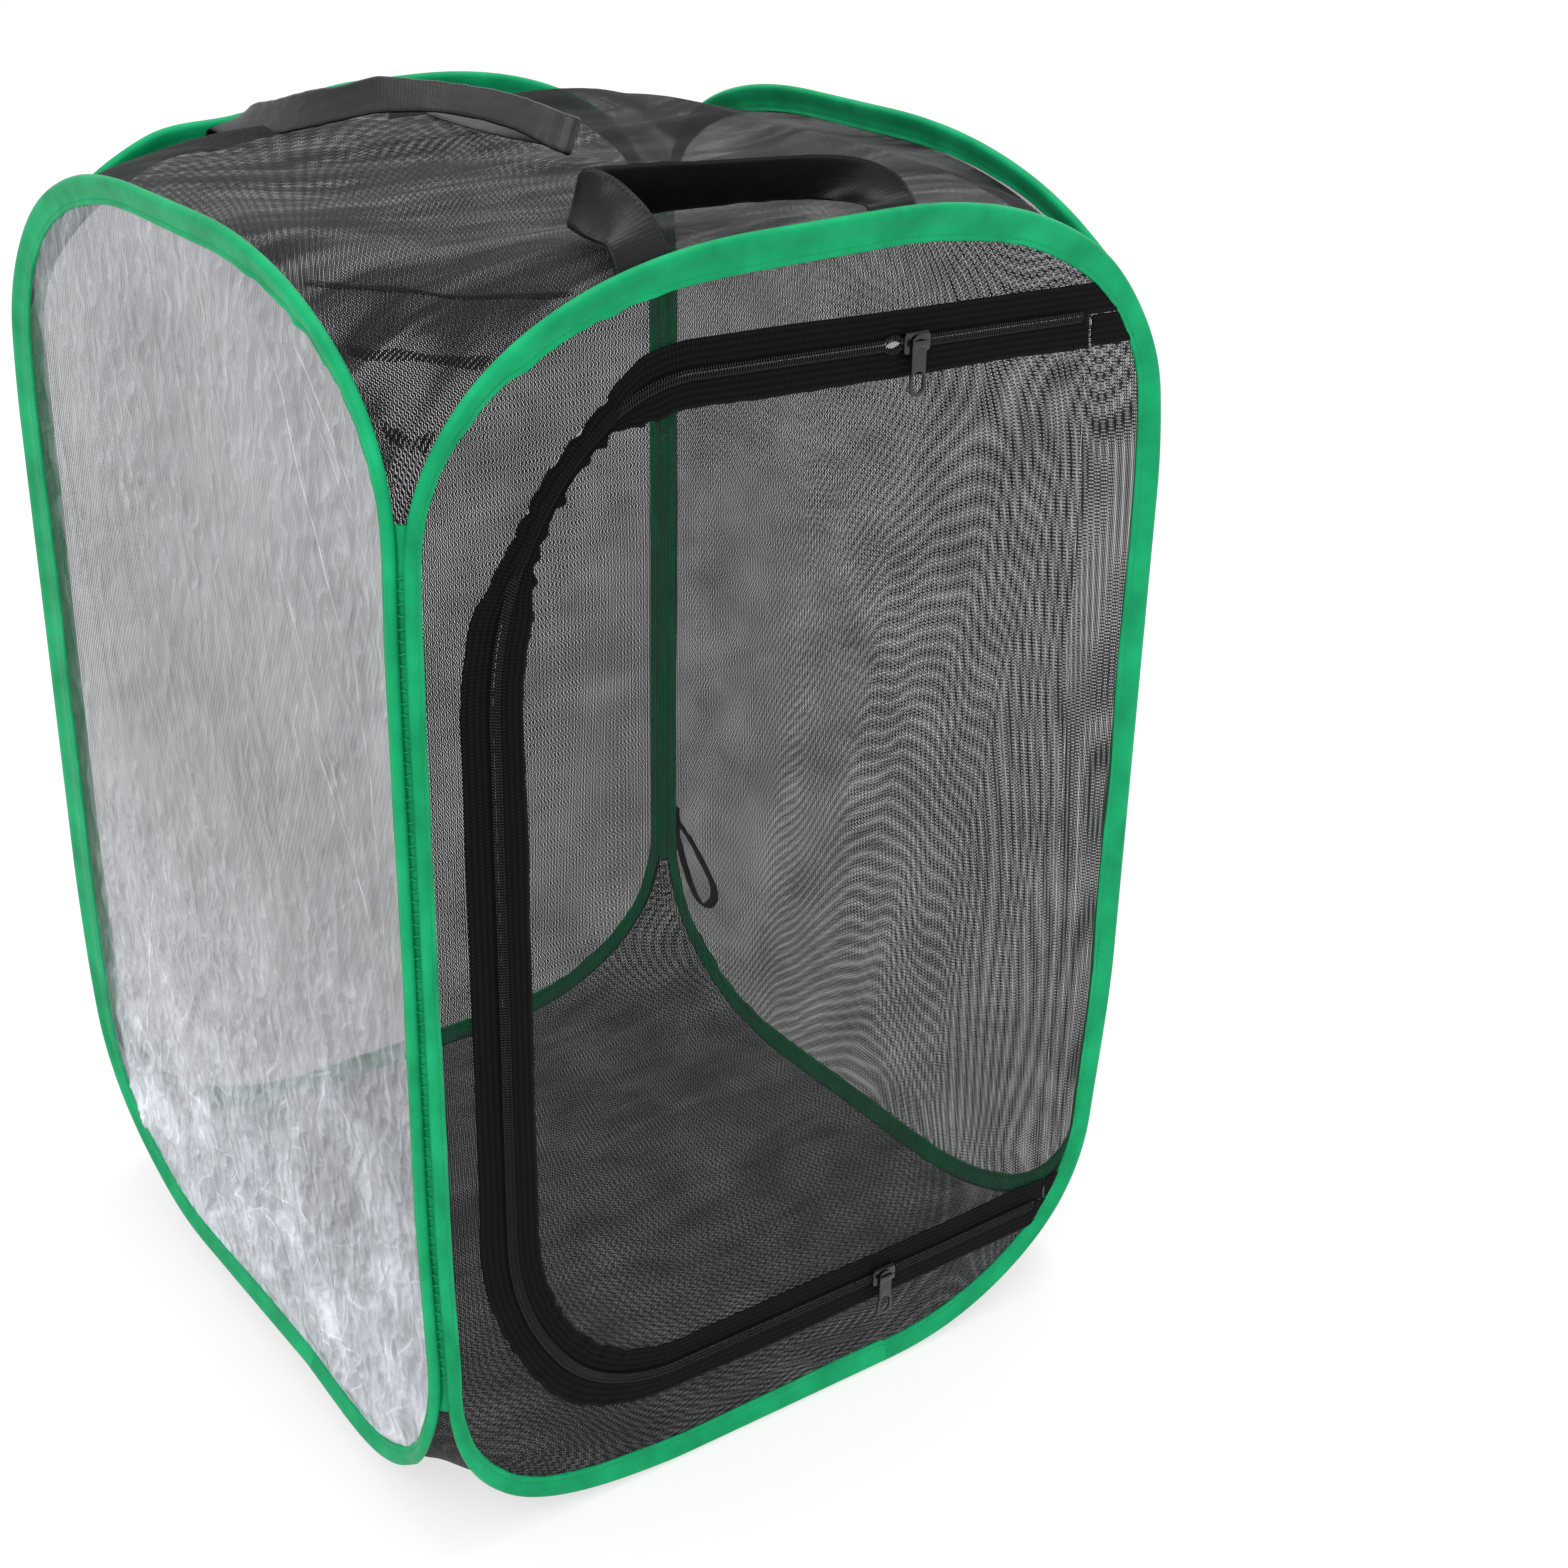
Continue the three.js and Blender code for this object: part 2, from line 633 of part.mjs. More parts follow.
// Height of a hoop's outer edge at a place along its top
function hoopTopHeight(x) {
  const halfRun = topRunLength / 2;
  const beyond = Math.max(Math.abs(x) - halfRun, 0) / (wireAcross - halfRun);
  const rise = Math.pow(1 - Math.pow(Math.min(beyond, 1), cornerFullness), 1 / cornerFullness);
  return height - topCornerDown * (1 - rise);
}

// Handle stations as shares: along the hoop, inwards from it, extra lift, and the direction of the width.
// Both ends lie flat on the hoop's edge, and between them the band's lower edge stays just above the hoops.
function addHandle(wall, name, spread, reach, lift, table) {
  const stations = table.map(([alongShare, reachShare, liftShare, x, y, z]) => {
    const place = alongShare * spread;
    const seated = Math.abs(reachShare * reach) < bindingThickness;
    const rise = hoopTopHeight(place + strapWidth / 2) - hoopTopHeight(place - strapWidth / 2);
    const across = new THREE.Vector3(x, y, seated ? x * rise / strapWidth : z).normalize();
    const standing = seated ? 0 : Math.abs(across.z) * strapWidth / 2;
    const lying = Math.hypot(across.x, across.y) * strapThickness / 2;
    const base = seated ? hoopTopHeight(place) : height;
    const middle = new THREE.Vector3(
      place,
      -frontPlane + reachShare * reach,
      base + gap + standing + lying + liftShare * lift,
    );
    return { middle, across };
  });
  addMesh(wall, name, bandGeometry(stations, strapWidth, strapThickness), satinStrap);
}

const frontHandleShares = [
  [-1, -0.06, 0, 1, 0, 0],
  [-1, 0.07, 0, 1, 0, 0],
  [-1.01, 0.24, 0, 1, 0.05, 0.25],
  [-1.03, 0.52, 0, 0.75, 0.1, 0.7],
  [-1.06, 0.82, 0, 0.25, -0.2, 0.9],
  [-1.07, 0.97, 0, 0, -0.4, 0.92],
  [-1.01, 1, 0, 0, -0.4, 0.92],
  [-0.7, 0.93, 0, 0, -0.45, 0.9],
  [-0.3, 0.8, 0, 0.05, -0.55, 0.82],
  [0.02, 0.68, 0, 0.2, -0.55, 0.75],
  [0.25, 0.53, 0, 0.45, -0.45, 0.62],
  [0.4, 0.36, 0, 0.8, -0.25, 0.4],
  [0.46, 0.2, 0, 1, 0, 0.12],
  [0.47, 0.07, 0, 1, 0, 0],
  [0.47, -0.06, 0, 1, 0, 0],
];
const backHandleShares = [
  [1, -0.011, 0, 1, 0, 0],
  [1, 0.014, 0, 1, 0, 0],
  [1.05, 0.14, 0.1, 0.95, 0.3, -0.12],
  [1.04, 0.27, 0.25, 0.8, 0.55, -0.25],
  [0.96, 0.36, 0.4, 0.6, 0.7, -0.4],
  [0.8, 0.436, 0.6, 0.45, 0.75, -0.48],
  [0.63, 0.49, 0.8, 0.45, 0.72, -0.5],
  [0.43, 0.566, 1, 0.5, 0.75, -0.42],
  [0.28, 0.64, 1, 0.6, 0.7, -0.38],
  [0.213, 0.77, 0.9, 0.57, 0.71, -0.42],
  [0.2, 0.884, 0.65, 0.6, 0.66, -0.45],
  [0.227, 0.975, 0.5, 0.62, 0.62, -0.45],
  [0.173, 1, 0.28, 0.62, 0.62, -0.45],
  [0.12, 0.975, 0.05, 0.62, 0.62, -0.45],
  [0.067, 0.857, 0, 0.62, 0.66, -0.42],
  [-0.107, 0.66, 0, 0.7, 0.65, -0.3],
  [-0.373, 0.444, 0, 0.8, 0.55, -0.2],
  [-0.69, 0.227, 0, 0.9, 0.4, -0.1],
  [-0.93, 0.083, 0, 1, 0.15, 0],
  [-1, 0.014, 0, 1, 0, 0],
  [-1, -0.011, 0, 1, 0, 0],
];
addHandle(frontWall, 'front_handle', frontHandleSpread, frontHandleReach, 0, frontHandleShares);
addHandle(backWall, 'back_handle', backHandleSpread, backHandleReach, backHandleLift, backHandleShares);

// The elastic loop hangs outside the back right edge. Its route leaves the binding, hangs and comes back to it.
const elasticRoute = [
  [201, 190.7, 123],
  [201, 190.7, 115.5],
  [203.8, 190.7, 109.5],
  [209, 190.7, 101],
  [215, 190.7, 91],
  [221, 190.7, 79],
  [227, 190.7, 66],
  [231.5, 190.7, 55],
  [232.5, 190.7, 47],
  [229, 190.7, 42],
  [223.5, 190.7, 43],
  [218.5, 190.7, 50],
  [214, 190.7, 60],
  [210, 190.7, 72],
  [206.5, 190.7, 84],
  [203.8, 190.7, 94],
  [201.8, 190.7, 101],
  [201, 190.7, 105.5],
  [201, 190.7, 111.5],
];
const elasticAcross = new THREE.Vector3(0, 1, 0);
const elasticStations = elasticRoute.map(([x, y, z]) => ({
  middle: new THREE.Vector3(x, y, z),
  across: elasticAcross,
}));
addMesh(cage, 'elastic_loop', bandGeometry(elasticStations, elasticWidth, elasticThickness), blackElastic);

export default cage;
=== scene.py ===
# %% [markdown]
# A pop-up insect cage. Four sprung wire hoops stand as the walls, each one bound in folded green tape.
# Three walls are black knitted mesh and one is clear film. The top and the floor are mesh too, and the
# front wall has a door flap with a coil zip. The solid frame gives every size and place, and this lesson
# dresses it in cloth, film, thread and metal. Each cell makes one thing, and the text above it says why it
# is made that way.

# %% Load the frame
import math

import bmesh
import bpy
import numpy as np
from mathutils import Matrix, Vector


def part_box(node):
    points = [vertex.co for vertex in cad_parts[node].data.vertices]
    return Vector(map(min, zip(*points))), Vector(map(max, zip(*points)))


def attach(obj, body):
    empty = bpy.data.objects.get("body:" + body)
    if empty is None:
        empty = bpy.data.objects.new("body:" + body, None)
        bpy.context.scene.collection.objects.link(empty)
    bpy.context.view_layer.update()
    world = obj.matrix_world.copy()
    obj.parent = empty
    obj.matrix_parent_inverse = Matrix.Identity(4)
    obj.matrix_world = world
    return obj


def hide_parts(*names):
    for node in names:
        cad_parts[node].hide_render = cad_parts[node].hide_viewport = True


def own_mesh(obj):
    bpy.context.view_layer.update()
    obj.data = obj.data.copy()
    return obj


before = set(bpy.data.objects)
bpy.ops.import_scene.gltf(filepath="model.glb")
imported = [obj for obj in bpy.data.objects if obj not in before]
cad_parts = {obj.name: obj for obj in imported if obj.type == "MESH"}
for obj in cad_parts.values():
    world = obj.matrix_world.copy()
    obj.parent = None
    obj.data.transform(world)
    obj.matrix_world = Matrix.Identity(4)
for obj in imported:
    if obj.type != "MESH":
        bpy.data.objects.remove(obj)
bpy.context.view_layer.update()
scene = bpy.context.scene
print("the frame has", len(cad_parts), "nodes")

# %% [markdown]
# The cage's sizes are the ones of its frame, in metres. A few come straight from the frame's boxes. The
# rest are the round corners of the hoops and the line of the zip, which no box can tell.

# %% Sizes of the cage
MM = 0.001
front_low, front_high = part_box("front_binding")
right_low, right_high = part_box("right_binding")
cage_height = front_high.z
front_plane = -(front_low.y + front_high.y) / 2
side_plane = (right_low.x + right_high.x) / 2
nose_radius = (front_high.y - front_low.y) / 2
wire_reach = front_high.x - nose_radius
wire_bottom = nose_radius
wire_top = cage_height - nose_radius
corner_fullness = 2.15
top_corner_across = 160 * MM
top_corner_down = 104 * MM
bottom_corner_across = 130 * MM
bottom_corner_up = 100 * MM
print("hoop planes at", round(front_plane, 4), "and", round(side_plane, 4))

# %% [markdown]
# The camera comes first, because everything is judged through it. It was fitted to the edges of the four
# hoops, so it stands where the picture was taken from: left of the door and above the cage, with a long
# lens. The lens shift puts the cage left of the middle of the square frame.

# %% Camera
camera_place = (-0.6025, -0.9574, 0.8205)
camera_azimuth = math.radians(-32.67)
camera_elevation = math.radians(26.02)
camera_roll = math.radians(-0.86)


def camera_axes(azimuth, elevation, roll):
    """Back points from the scene to the camera. Right is level, up is square to both, and both turn by the
    roll."""
    back = np.array([
        math.sin(azimuth) * math.cos(elevation),
        -math.cos(azimuth) * math.cos(elevation),
        math.sin(elevation),
    ])
    right = np.cross([0, 0, 1], back)
    right /= np.linalg.norm(right)
    up = np.cross(back, right)
    turned_right = math.cos(roll) * right + math.sin(roll) * up
    turned_up = -math.sin(roll) * right + math.cos(roll) * up
    return turned_right, turned_up, back


camera_data = bpy.data.cameras.new("camera")
camera_data.sensor_width = 36
camera_data.lens = 55.52
camera_data.shift_x = 0.125
camera_data.shift_y = 0.00255
camera = bpy.data.objects.new("camera", camera_data)
scene.collection.objects.link(camera)
axes = camera_axes(camera_azimuth, camera_elevation, camera_roll)
for row in range(3):
    for column in range(3):
        camera.matrix_world[row][column] = axes[column][row]
    camera.matrix_world[row][3] = camera_place[row]
scene.camera = camera
print("camera looks from", camera_place)

# %% [markdown]
# A few small helpers serve every material. One turns a colour as a designer writes it, in sRGB hex, into
# the linear numbers that a renderer adds up. The second adds a shader node, sets it and joins it in one
# line, so that a material reads like a recipe. Two start a plain and a speckled material, and the last
# gives the scale of ribs.


# %% Helpers for materials
def colour(text):
    """Linear RGBA of an sRGB hex colour: c / 12.92 below 0.04045, and ((c + 0.055) / 1.055) ** 2.4
    above."""
    parts = [int(text[i:i + 2], 16) / 255 for i in (1, 3, 5)]
    linear = [c / 12.92 if c <= 0.04045 else ((c + 0.055) / 1.055) ** 2.4 for c in parts]
    return (*linear, 1.0)


def add(tree, kind, links=None, tones=(), **settings):
    """A new node of a kind. Settings are its properties, links are values or other sockets for its inputs,
    and tones are the colours of a ramp's two ends."""
    node = tree.nodes.new("ShaderNode" + kind)
    for name, value in settings.items():
        setattr(node, name, value)
    for end, tone in enumerate(tones):
        node.color_ramp.elements[end].color = colour(tone)
    for key, value in (links or {}).items():
        if isinstance(value, bpy.types.NodeSocket):
            tree.links.new(value, node.inputs[key])
        else:
            node.inputs[key].default_value = value
    return node


def start_material(name, base, roughness, **sockets):
    """A material with its base colour, roughness and any other shader sockets set."""
    material = bpy.data.materials.new(name)
    material.use_nodes = True
    tree = material.node_tree
    shader = tree.nodes["Principled BSDF"]
    shader.inputs["Base Color"].default_value = colour(base)
    shader.inputs["Roughness"].default_value = roughness
    for key, value in sockets.items():
        shader.inputs[key.replace("_", " ")].default_value = value
    return material, tree, shader


def speckled(name, base, roughness, grains, tones, detail=2.0, **sockets):
    """A material whose colour varies between two tones, by a noise with that many grains in a metre."""
    material, tree, shader = start_material(name, base, roughness, **sockets)
    place = add(tree, "TexCoord")
    cloud = add(tree, "TexNoise", {"Vector": place.outputs["Object"], "Scale": grains, "Detail": detail})
    ramp = add(tree, "ValToRGB", {"Fac": cloud.outputs["Fac"]}, tones=tones)
    tree.links.new(ramp.outputs["Color"], shader.inputs["Base Color"])
    return material, tree, shader, cloud


def wave_scale(spacing):
    """The Wave texture's scale for bands this far apart. It draws 20 / (2 pi) bands in each unit of its
    scale."""
    return 2 * math.pi / 20 / spacing


# %% [markdown]
# Every soft piece here is a surface over a grid of two parameters. The points come as one array, and this
# helper lays quads over it. It can close the grid into a ring or a tube, and it stores a UV map in metres
# along the surface, so that a weave keeps its real size wherever the cloth goes.


# %% Helpers for meshes
def add_object(name, points, faces, material, uv=None, smooth=True):
    """A mesh object from points (n, 3), faces (m, 3 or 4) and, for each face corner, a UV pair in
    metres."""
    mesh = bpy.data.meshes.new(name)
    sides = faces.shape[1]
    mesh.vertices.add(len(points))
    mesh.vertices.foreach_set("co", np.ascontiguousarray(points, np.float32).ravel())
    mesh.loops.add(faces.size)
    mesh.loops.foreach_set("vertex_index", np.ascontiguousarray(faces, np.int32).ravel())
    mesh.polygons.add(len(faces))
    mesh.polygons.foreach_set("loop_start", np.arange(0, faces.size, sides, dtype=np.int32))
    mesh.update(calc_edges=True)
    mesh.polygons.foreach_set("use_smooth", np.full(len(faces), smooth))
    if uv is not None:
        layer = mesh.uv_layers.new(name="cloth")
        layer.data.foreach_set("uv", np.ascontiguousarray(uv, np.float32).ravel())
    mesh.materials.append(material)
    made = bpy.data.objects.new(name, mesh)
    scene.collection.objects.link(made)
    return made


def grid_faces(rows, columns, close_rows=False, close_columns=False):
    """Corner numbers of the quads between neighbouring grid points, with the wrapped ones counted on for
    the UV."""
    row, column = np.meshgrid(
        np.arange(rows if close_rows else rows - 1),
        np.arange(columns if close_columns else columns - 1),
        indexing="ij",
    )
    corners = [(row, column), (row, column + 1), (row + 1, column + 1), (row + 1, column)]
    rows_at = np.stack([r.ravel() for r, c in corners], 1)
    columns_at = np.stack([c.ravel() for r, c in corners], 1)
    return rows_at, columns_at


def grid_object(name, points, along, across, material, close_rows=False, close_columns=False):
    """Quads over points (rows, columns, 3). Along and across are the UV's metres at each row and column."""
    rows, columns = points.shape[:2]
    rows_at, columns_at = grid_faces(rows, columns, close_rows, close_columns)
    faces = (rows_at % rows) * columns + columns_at % columns
    uv = np.stack([np.asarray(across)[columns_at], np.asarray(along)[rows_at]], -1)
    return add_object(name, points.reshape(-1, 3), faces, material, uv)


def flat_grid_object(name, points, plan, material, flip=False):
    """Quads over points (rows, columns, 3), with the UV in metres given at each point as plan (rows,
    columns, 2)."""
    rows, columns = points.shape[:2]
    rows_at, columns_at = grid_faces(rows, columns)
    faces = rows_at * columns + columns_at
    uv = plan[rows_at, columns_at]
    if flip:
        faces = faces[:, ::-1]
        uv = uv[:, ::-1]
    return add_object(name, points.reshape(-1, 3), faces, material, uv)


def ease(low, high, value):
    """0 below low, 1 above high, and 3t^2 - 2t^3 in between."""
    t = np.clip((value - low) / (high - low), 0, 1)
    return t * t * (3 - 2 * t)


def ripple(u, v, seed):
    """Smooth noise from -1 to 1: random heights on a unit lattice, joined by eased weights."""
    heights = np.random.default_rng(seed).uniform(-1, 1, (64, 64))
    i = np.floor(u).astype(int)
    j = np.floor(v).astype(int)
    s = ease(0, 1, u - i)
    t = ease(0, 1, v - j)
    low = heights[i % 64, j % 64] * (1 - s) + heights[(i + 1) % 64, j % 64] * s
    high = heights[i % 64, (j + 1) % 64] * (1 - s) + heights[(i + 1) % 64, (j + 1) % 64] * s
    return low * (1 - t) + high * t


def smooth_path(points, count):
    """A Catmull-Rom curve through the points, sampled count times: each stretch is a cubic of four
    neighbours."""
    points = np.asarray(points, float)
    place = np.linspace(0, len(points) - 1, count)
    i = np.minimum(place.astype(int), len(points) - 2)
    f = (place - i)[:, None]
    before = points[np.maximum(i - 1, 0)]
    start = points[i]
    end = points[i + 1]
    after = points[np.minimum(i + 2, len(points) - 1)]
    return 0.5 * (
        2 * start
        + (end - before) * f
        + (2 * before - 5 * start + 4 * end - after) * f ** 2
        + (3 * start - before - 3 * end + after) * f ** 3
    )


def unit(vectors):
    """The same directions with length 1."""
    return vectors / np.linalg.norm(vectors, axis=-1, keepdims=True)


def distances(line):
    """Distance along a line at each of its points: the sum of the steps before it."""
    return np.concatenate([[0], np.cumsum(np.linalg.norm(np.diff(line, axis=0), axis=1))])


def sample(at, known_at, values):
    """Each column of the values, interpolated at distances along a line."""
    return np.stack([np.interp(at, known_at, values[:, i]) for i in range(values.shape[1])], -1)


def close_ends(middle, rings):
    """Rings with one more at each end that is shrunk to the middle line's point, which closes the tube."""
    return np.concatenate([middle[:1, None] + 0 * rings[:1], rings, middle[-1:, None] + 0 * rings[-1:]])


# %% [markdown]
# The small hanging loop is flat elastic, 8 mm wide, and it is the cage's one loose cord. Its route is the
# one the frame has: out of the back right edge, down in a narrow drop, and back into the edge. Elastic is a
# ribbed knit, so the material has fine cross ribs.

# %% Elastic loop
elastic_width = 8 * MM
elastic_thickness = 1.3 * MM
elastic_plane = 190.7 * MM
elastic_route = np.array([
    (201, 123), (201, 115.5), (203.8, 109.5), (209, 101), (215, 91), (221, 79), (227, 66), (231.5, 55),
    (232.5, 47), (229, 42), (223.5, 43), (218.5, 50), (214, 60), (210, 72), (206.5, 84), (203.8, 94),
    (201.8, 101), (201, 105.5), (201, 111.5),
]) * MM


def knitted_elastic():
    """Knitted polyester elastic: matt black with cross ribs, which catch the light as fine bars. They are
    drawn every 2.2 mm, twice as coarse as real ones, so that they show."""
    material, tree, shader = start_material("knitted_elastic", "#0c0c0e", 0.75, Sheen_Weight=0.02,
                                            Specular_IOR_Level=0.08)
    place = add(tree, "UVMap")
    ribs = add(tree, "TexWave", {"Vector": place.outputs["UV"], "Scale": wave_scale(2.171 * MM),
                                 "Distortion": 0.0}, bands_direction="Y")
    tones = add(tree, "ValToRGB", {"Fac": ribs.outputs["Fac"]}, tones=("#060607", "#141417"))
    tree.links.new(tones.outputs["Color"], shader.inputs["Base Color"])
    bump = add(tree, "Bump", {"Height": ribs.outputs["Fac"], "Strength": 0.5, "Distance": 0.25 * MM})
    tree.links.new(bump.outputs["Normal"], shader.inputs["Normal"])
    return material


def band(name, middle, across, width, thickness, material):
    """A closed flat band along a path. Its section is a flat oval of 16 points: the half width by cos^0.7
    and the half thickness by sin^0.5, so that the faces stay flat and only the edges are round."""
    along = unit(np.gradient(middle, axis=0))
    through = unit(np.cross(along, across))
    angle = np.linspace(0, 2 * np.pi, 16, endpoint=False) + np.pi / 16
    wide = np.sign(np.cos(angle)) * np.abs(np.cos(angle)) ** 0.7 * width / 2
    high = np.sign(np.sin(angle)) * np.abs(np.sin(angle)) ** 0.5 * thickness / 2
    points = middle[:, None] + across[:, None] * wide[:, None] + through[:, None] * high[:, None]
    at = distances(middle)
    length = np.concatenate([[0], at, at[-1:]])
    made = grid_object(name, close_ends(middle, points), length, np.append(wide, wide[0]), material,
                       close_columns=True)
    mend(made)
    return made


def mend(piece):
    """Merges doubled points, as at the closed ends of a band, and turns every face outwards."""
    shape = bmesh.new()
    shape.from_mesh(piece.data)
    bmesh.ops.remove_doubles(shape, verts=shape.verts, dist=0.002 * MM)
    bmesh.ops.recalc_face_normals(shape, faces=shape.faces)
    shape.to_mesh(piece.data)
    shape.free()


elastic_middle = smooth_path(
    np.stack([elastic_route[:, 0], np.full(len(elastic_route), elastic_plane), elastic_route[:, 1]], 1), 150)
elastic_across = np.tile([0.0, 1.0, 0.0], (len(elastic_middle), 1))
elastic_finish = knitted_elastic()
elastic_loop = band("elastic_hanging_loop", elastic_middle, elastic_across, elastic_width, elastic_thickness,
                    elastic_finish)
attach(elastic_loop, "right")
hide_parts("elastic_loop")
print("elastic loop", round(float(distances(elastic_middle)[-1]), 4), "m")

# %% [markdown]
# All four hoops share one outline: straight sides and corners that are slightly fuller than ellipses. One
# function gives that outline from a running number, and a second spaces points evenly along it. A third
# turns wall measures, which are across, outwards and up, into the place on any of the four walls.

# %% The hoops' outline
WALL_AXES = {
    "front": ((1, 0), (0, -1)),
    "right": ((0, 1), (1, 0)),
    "back": ((-1, 0), (0, 1)),
    "left": ((0, -1), (-1, 0)),
}
WALL_PLANES = {"front": front_plane, "right": side_plane, "back": front_plane, "left": side_plane}


def hoop_at(lap):
    """Place, outward direction and run share of the wire. The lap runs from 0 to 8: each corner takes one
    and the straight after it one. In a corner the place is (cos^(2/f), sin^(2/f)) of its two radii, f the
    fullness."""
    lap = np.mod(lap, 8)
    corner = (lap // 2).astype(int)
    within = lap - 2 * corner
    turn = np.minimum(within, 1)
    falling = corner % 2 == 0
    signs = np.array([1, 1, -1, -1])
    tops = np.array([0, 1, 1, 0])

    def corner_place(which, share):
        angle = share * np.pi / 2
        a = np.clip(np.cos(angle), 0, 1) ** (2 / corner_fullness)
        b = np.clip(np.sin(angle), 0, 1) ** (2 / corner_fullness)
        top = tops[which]
        across = np.where(top, top_corner_across, bottom_corner_across)
        along = np.where(top, top_corner_down, bottom_corner_up)
        up = np.where(top, 1, -1)
        level = np.where(top, wire_top - along, wire_bottom + along)
        x = signs[which] * (wire_reach - across + across * a)
        z = level + up * along * b
        facing = np.stack([signs[which] * a ** (corner_fullness - 1) / across,
                           up * b ** (corner_fullness - 1) / along], -1)
        return np.stack([x, z], -1), unit(facing)

    share = np.where(falling, 1 - turn, turn)
    place, facing = corner_place(corner, share)
    following = (corner + 1) % 4
    next_share = np.where(following % 2 == 0, 1.0, 0.0)
    next_place, _ = corner_place(following, next_share)
    straight = np.maximum(within - 1, 0)[..., None]
    return place + (next_place - place) * straight, facing, share


hoop_laps = np.linspace(0, 8, 6401)
hoop_lengths = distances(hoop_at(hoop_laps)[0])
hoop_length = hoop_lengths[-1]

# How far the hoops have settled, in millimetres, and the height in metres where the right hoop's lean begins.
front_right_bow = 8.5
front_left_bow = 3.0
back_left_bow = 10.0
left_corner_shift = 8.0
left_corner_drop = 4.0
right_corner_shift = 1.0
right_corner_rise = 2.0
left_run_shift = 9.0
left_run_lift = 20.0
strap_sinking = 7.0
right_lean = 24.5
lean_start = 0.44


def settle(points):
    """Moves places of the plain cage to where its sprung hoops have settled. The uprights bow, each by its
    own amount at mid height. The right hoop leans in, as the square of the height. The left hoop's lower
    run lifts off the ground, the lower corners shift, and the back hoop sinks a little under its strap."""
    x, y, z = (points[..., i] for i in range(3))
    beside = ease(0.16, 0.194, np.abs(x))
    facing = ease(0.16, 0.194, np.abs(y))
    bow = ease(0.06, 0.2, z) * (1 - ease(0.45, 0.57, z)) * beside * facing
    moved_x = bow * np.where(y < 0, np.where(x > 0, front_right_bow, -front_left_bow), 0.0)
    moved_y = bow * np.where((x < 0) & (y > 0), back_left_bow, 0.0)
    low = 1 - ease(0.02, 0.11, z)
    front_low = facing * (y < 0) * low
    left_low = beside * (x < 0) * (1 - ease(0.0, 0.14, z))
    to_left = ease(0.08, 0.16, -x)
    to_right = ease(0.08, 0.16, x)
    moved_x = moved_x + front_low * (-left_corner_shift * to_left - right_corner_shift * to_right)
    moved_z = front_low * (-left_corner_drop * to_left + right_corner_rise * to_right)
    moved_y = moved_y - left_low * left_run_shift * ease(0.07, 0.14, y)
    moved_z = moved_z + left_low * left_run_lift * ease(-0.16, -0.05, y)
    sunk = ease(0.0, 0.06, -x) * (1 - ease(0.07, 0.12, -x)) * ease(0.5, 0.57, z)
    moved_z = moved_z - strap_sinking * facing * (y > 0) * sunk
    lean = right_lean * np.clip((z - lean_start) / (cage_height - lean_start), 0, 1) ** 2
    moved_x = moved_x - lean * ease(-0.4, 1, x / wire_reach) * ease(-0.044, 0.044, x - np.abs(y))
    return points + np.stack([moved_x, moved_y, moved_z], -1) * MM


def lap_of(length):
    """The running number at a distance along the wire."""
    return np.interp(np.mod(length, hoop_length), hoop_lengths, hoop_laps)


def length_of(lap):
    """The distance along the wire at a running number."""
    return np.interp(lap, hoop_laps, hoop_lengths)


def on_wall(side, across, outward, up):
    """World places of wall measures, settled."""
    (ax, ay), (ox, oy) = WALL_AXES[side]
    distance = WALL_PLANES[side] + outward
    x = across * ax + distance * ox
    y = across * ay + distance * oy
    return settle(np.stack(np.broadcast_arrays(x, y, up), -1))


def ride_wall(piece, side):
    """Makes a piece ride on its wall. The right wall leans in, and a piece on it gets a mesh of its own."""
    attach(piece, side)
    if side == "right":
        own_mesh(piece)


print("each hoop is", round(hoop_length, 3), "m round")

# %% [markdown]
# The binding is polyester tape, folded over the wire and sewn shut along its inner edge. A flat band would
# look like plastic, so the surface is a profile: a round nose over the wire, a neck, two thin lips pinched
# by the stitches. Along the corners the spare tape gathers, so the lips wave and the width narrows there.
# The stitches are small raised bars of thread, one every 3 mm, each with only a few faces because there are
# thousands.

# %% Binding shape
# Widths of the folded tape in millimetres: on each hoop's top run, and on its two uprights.
TOP_WIDTHS = {"front": 16, "right": 15, "back": 14, "left": 13}
width_bottom = 13 * MM
UPRIGHT_WIDTHS = {"front": (6.8, 12), "right": (9, 8), "back": (8, 12), "left": (17, 6.8)}
lip_half = 0.95 * MM
stitch_inset = 2.6 * MM
HOOP_SEEDS = {"front": 11, "right": 23, "back": 37, "left": 53}


def binding_width(side, length):
    """Width of the folded tape: it grows from the uprights to the runs, and the gathers pull it in and
    out."""
    lap = lap_of(length)
    share = hoop_at(lap)[2]
    run = np.where((lap >= 1.5) & (lap < 5.5), TOP_WIDTHS[side] * MM, width_bottom)
    first, second = UPRIGHT_WIDTHS[side]
    upright = np.where((lap < 3.5) | (lap > 7.5), second, first) * MM
    seed = HOOP_SEEDS[side]
    width = upright + (run - upright) * ease(0, 1, share)
    return width * (1 + 0.035 * ripple(length / 0.05, 0 * length, seed)) + gather(side, length) * 0.4 * MM


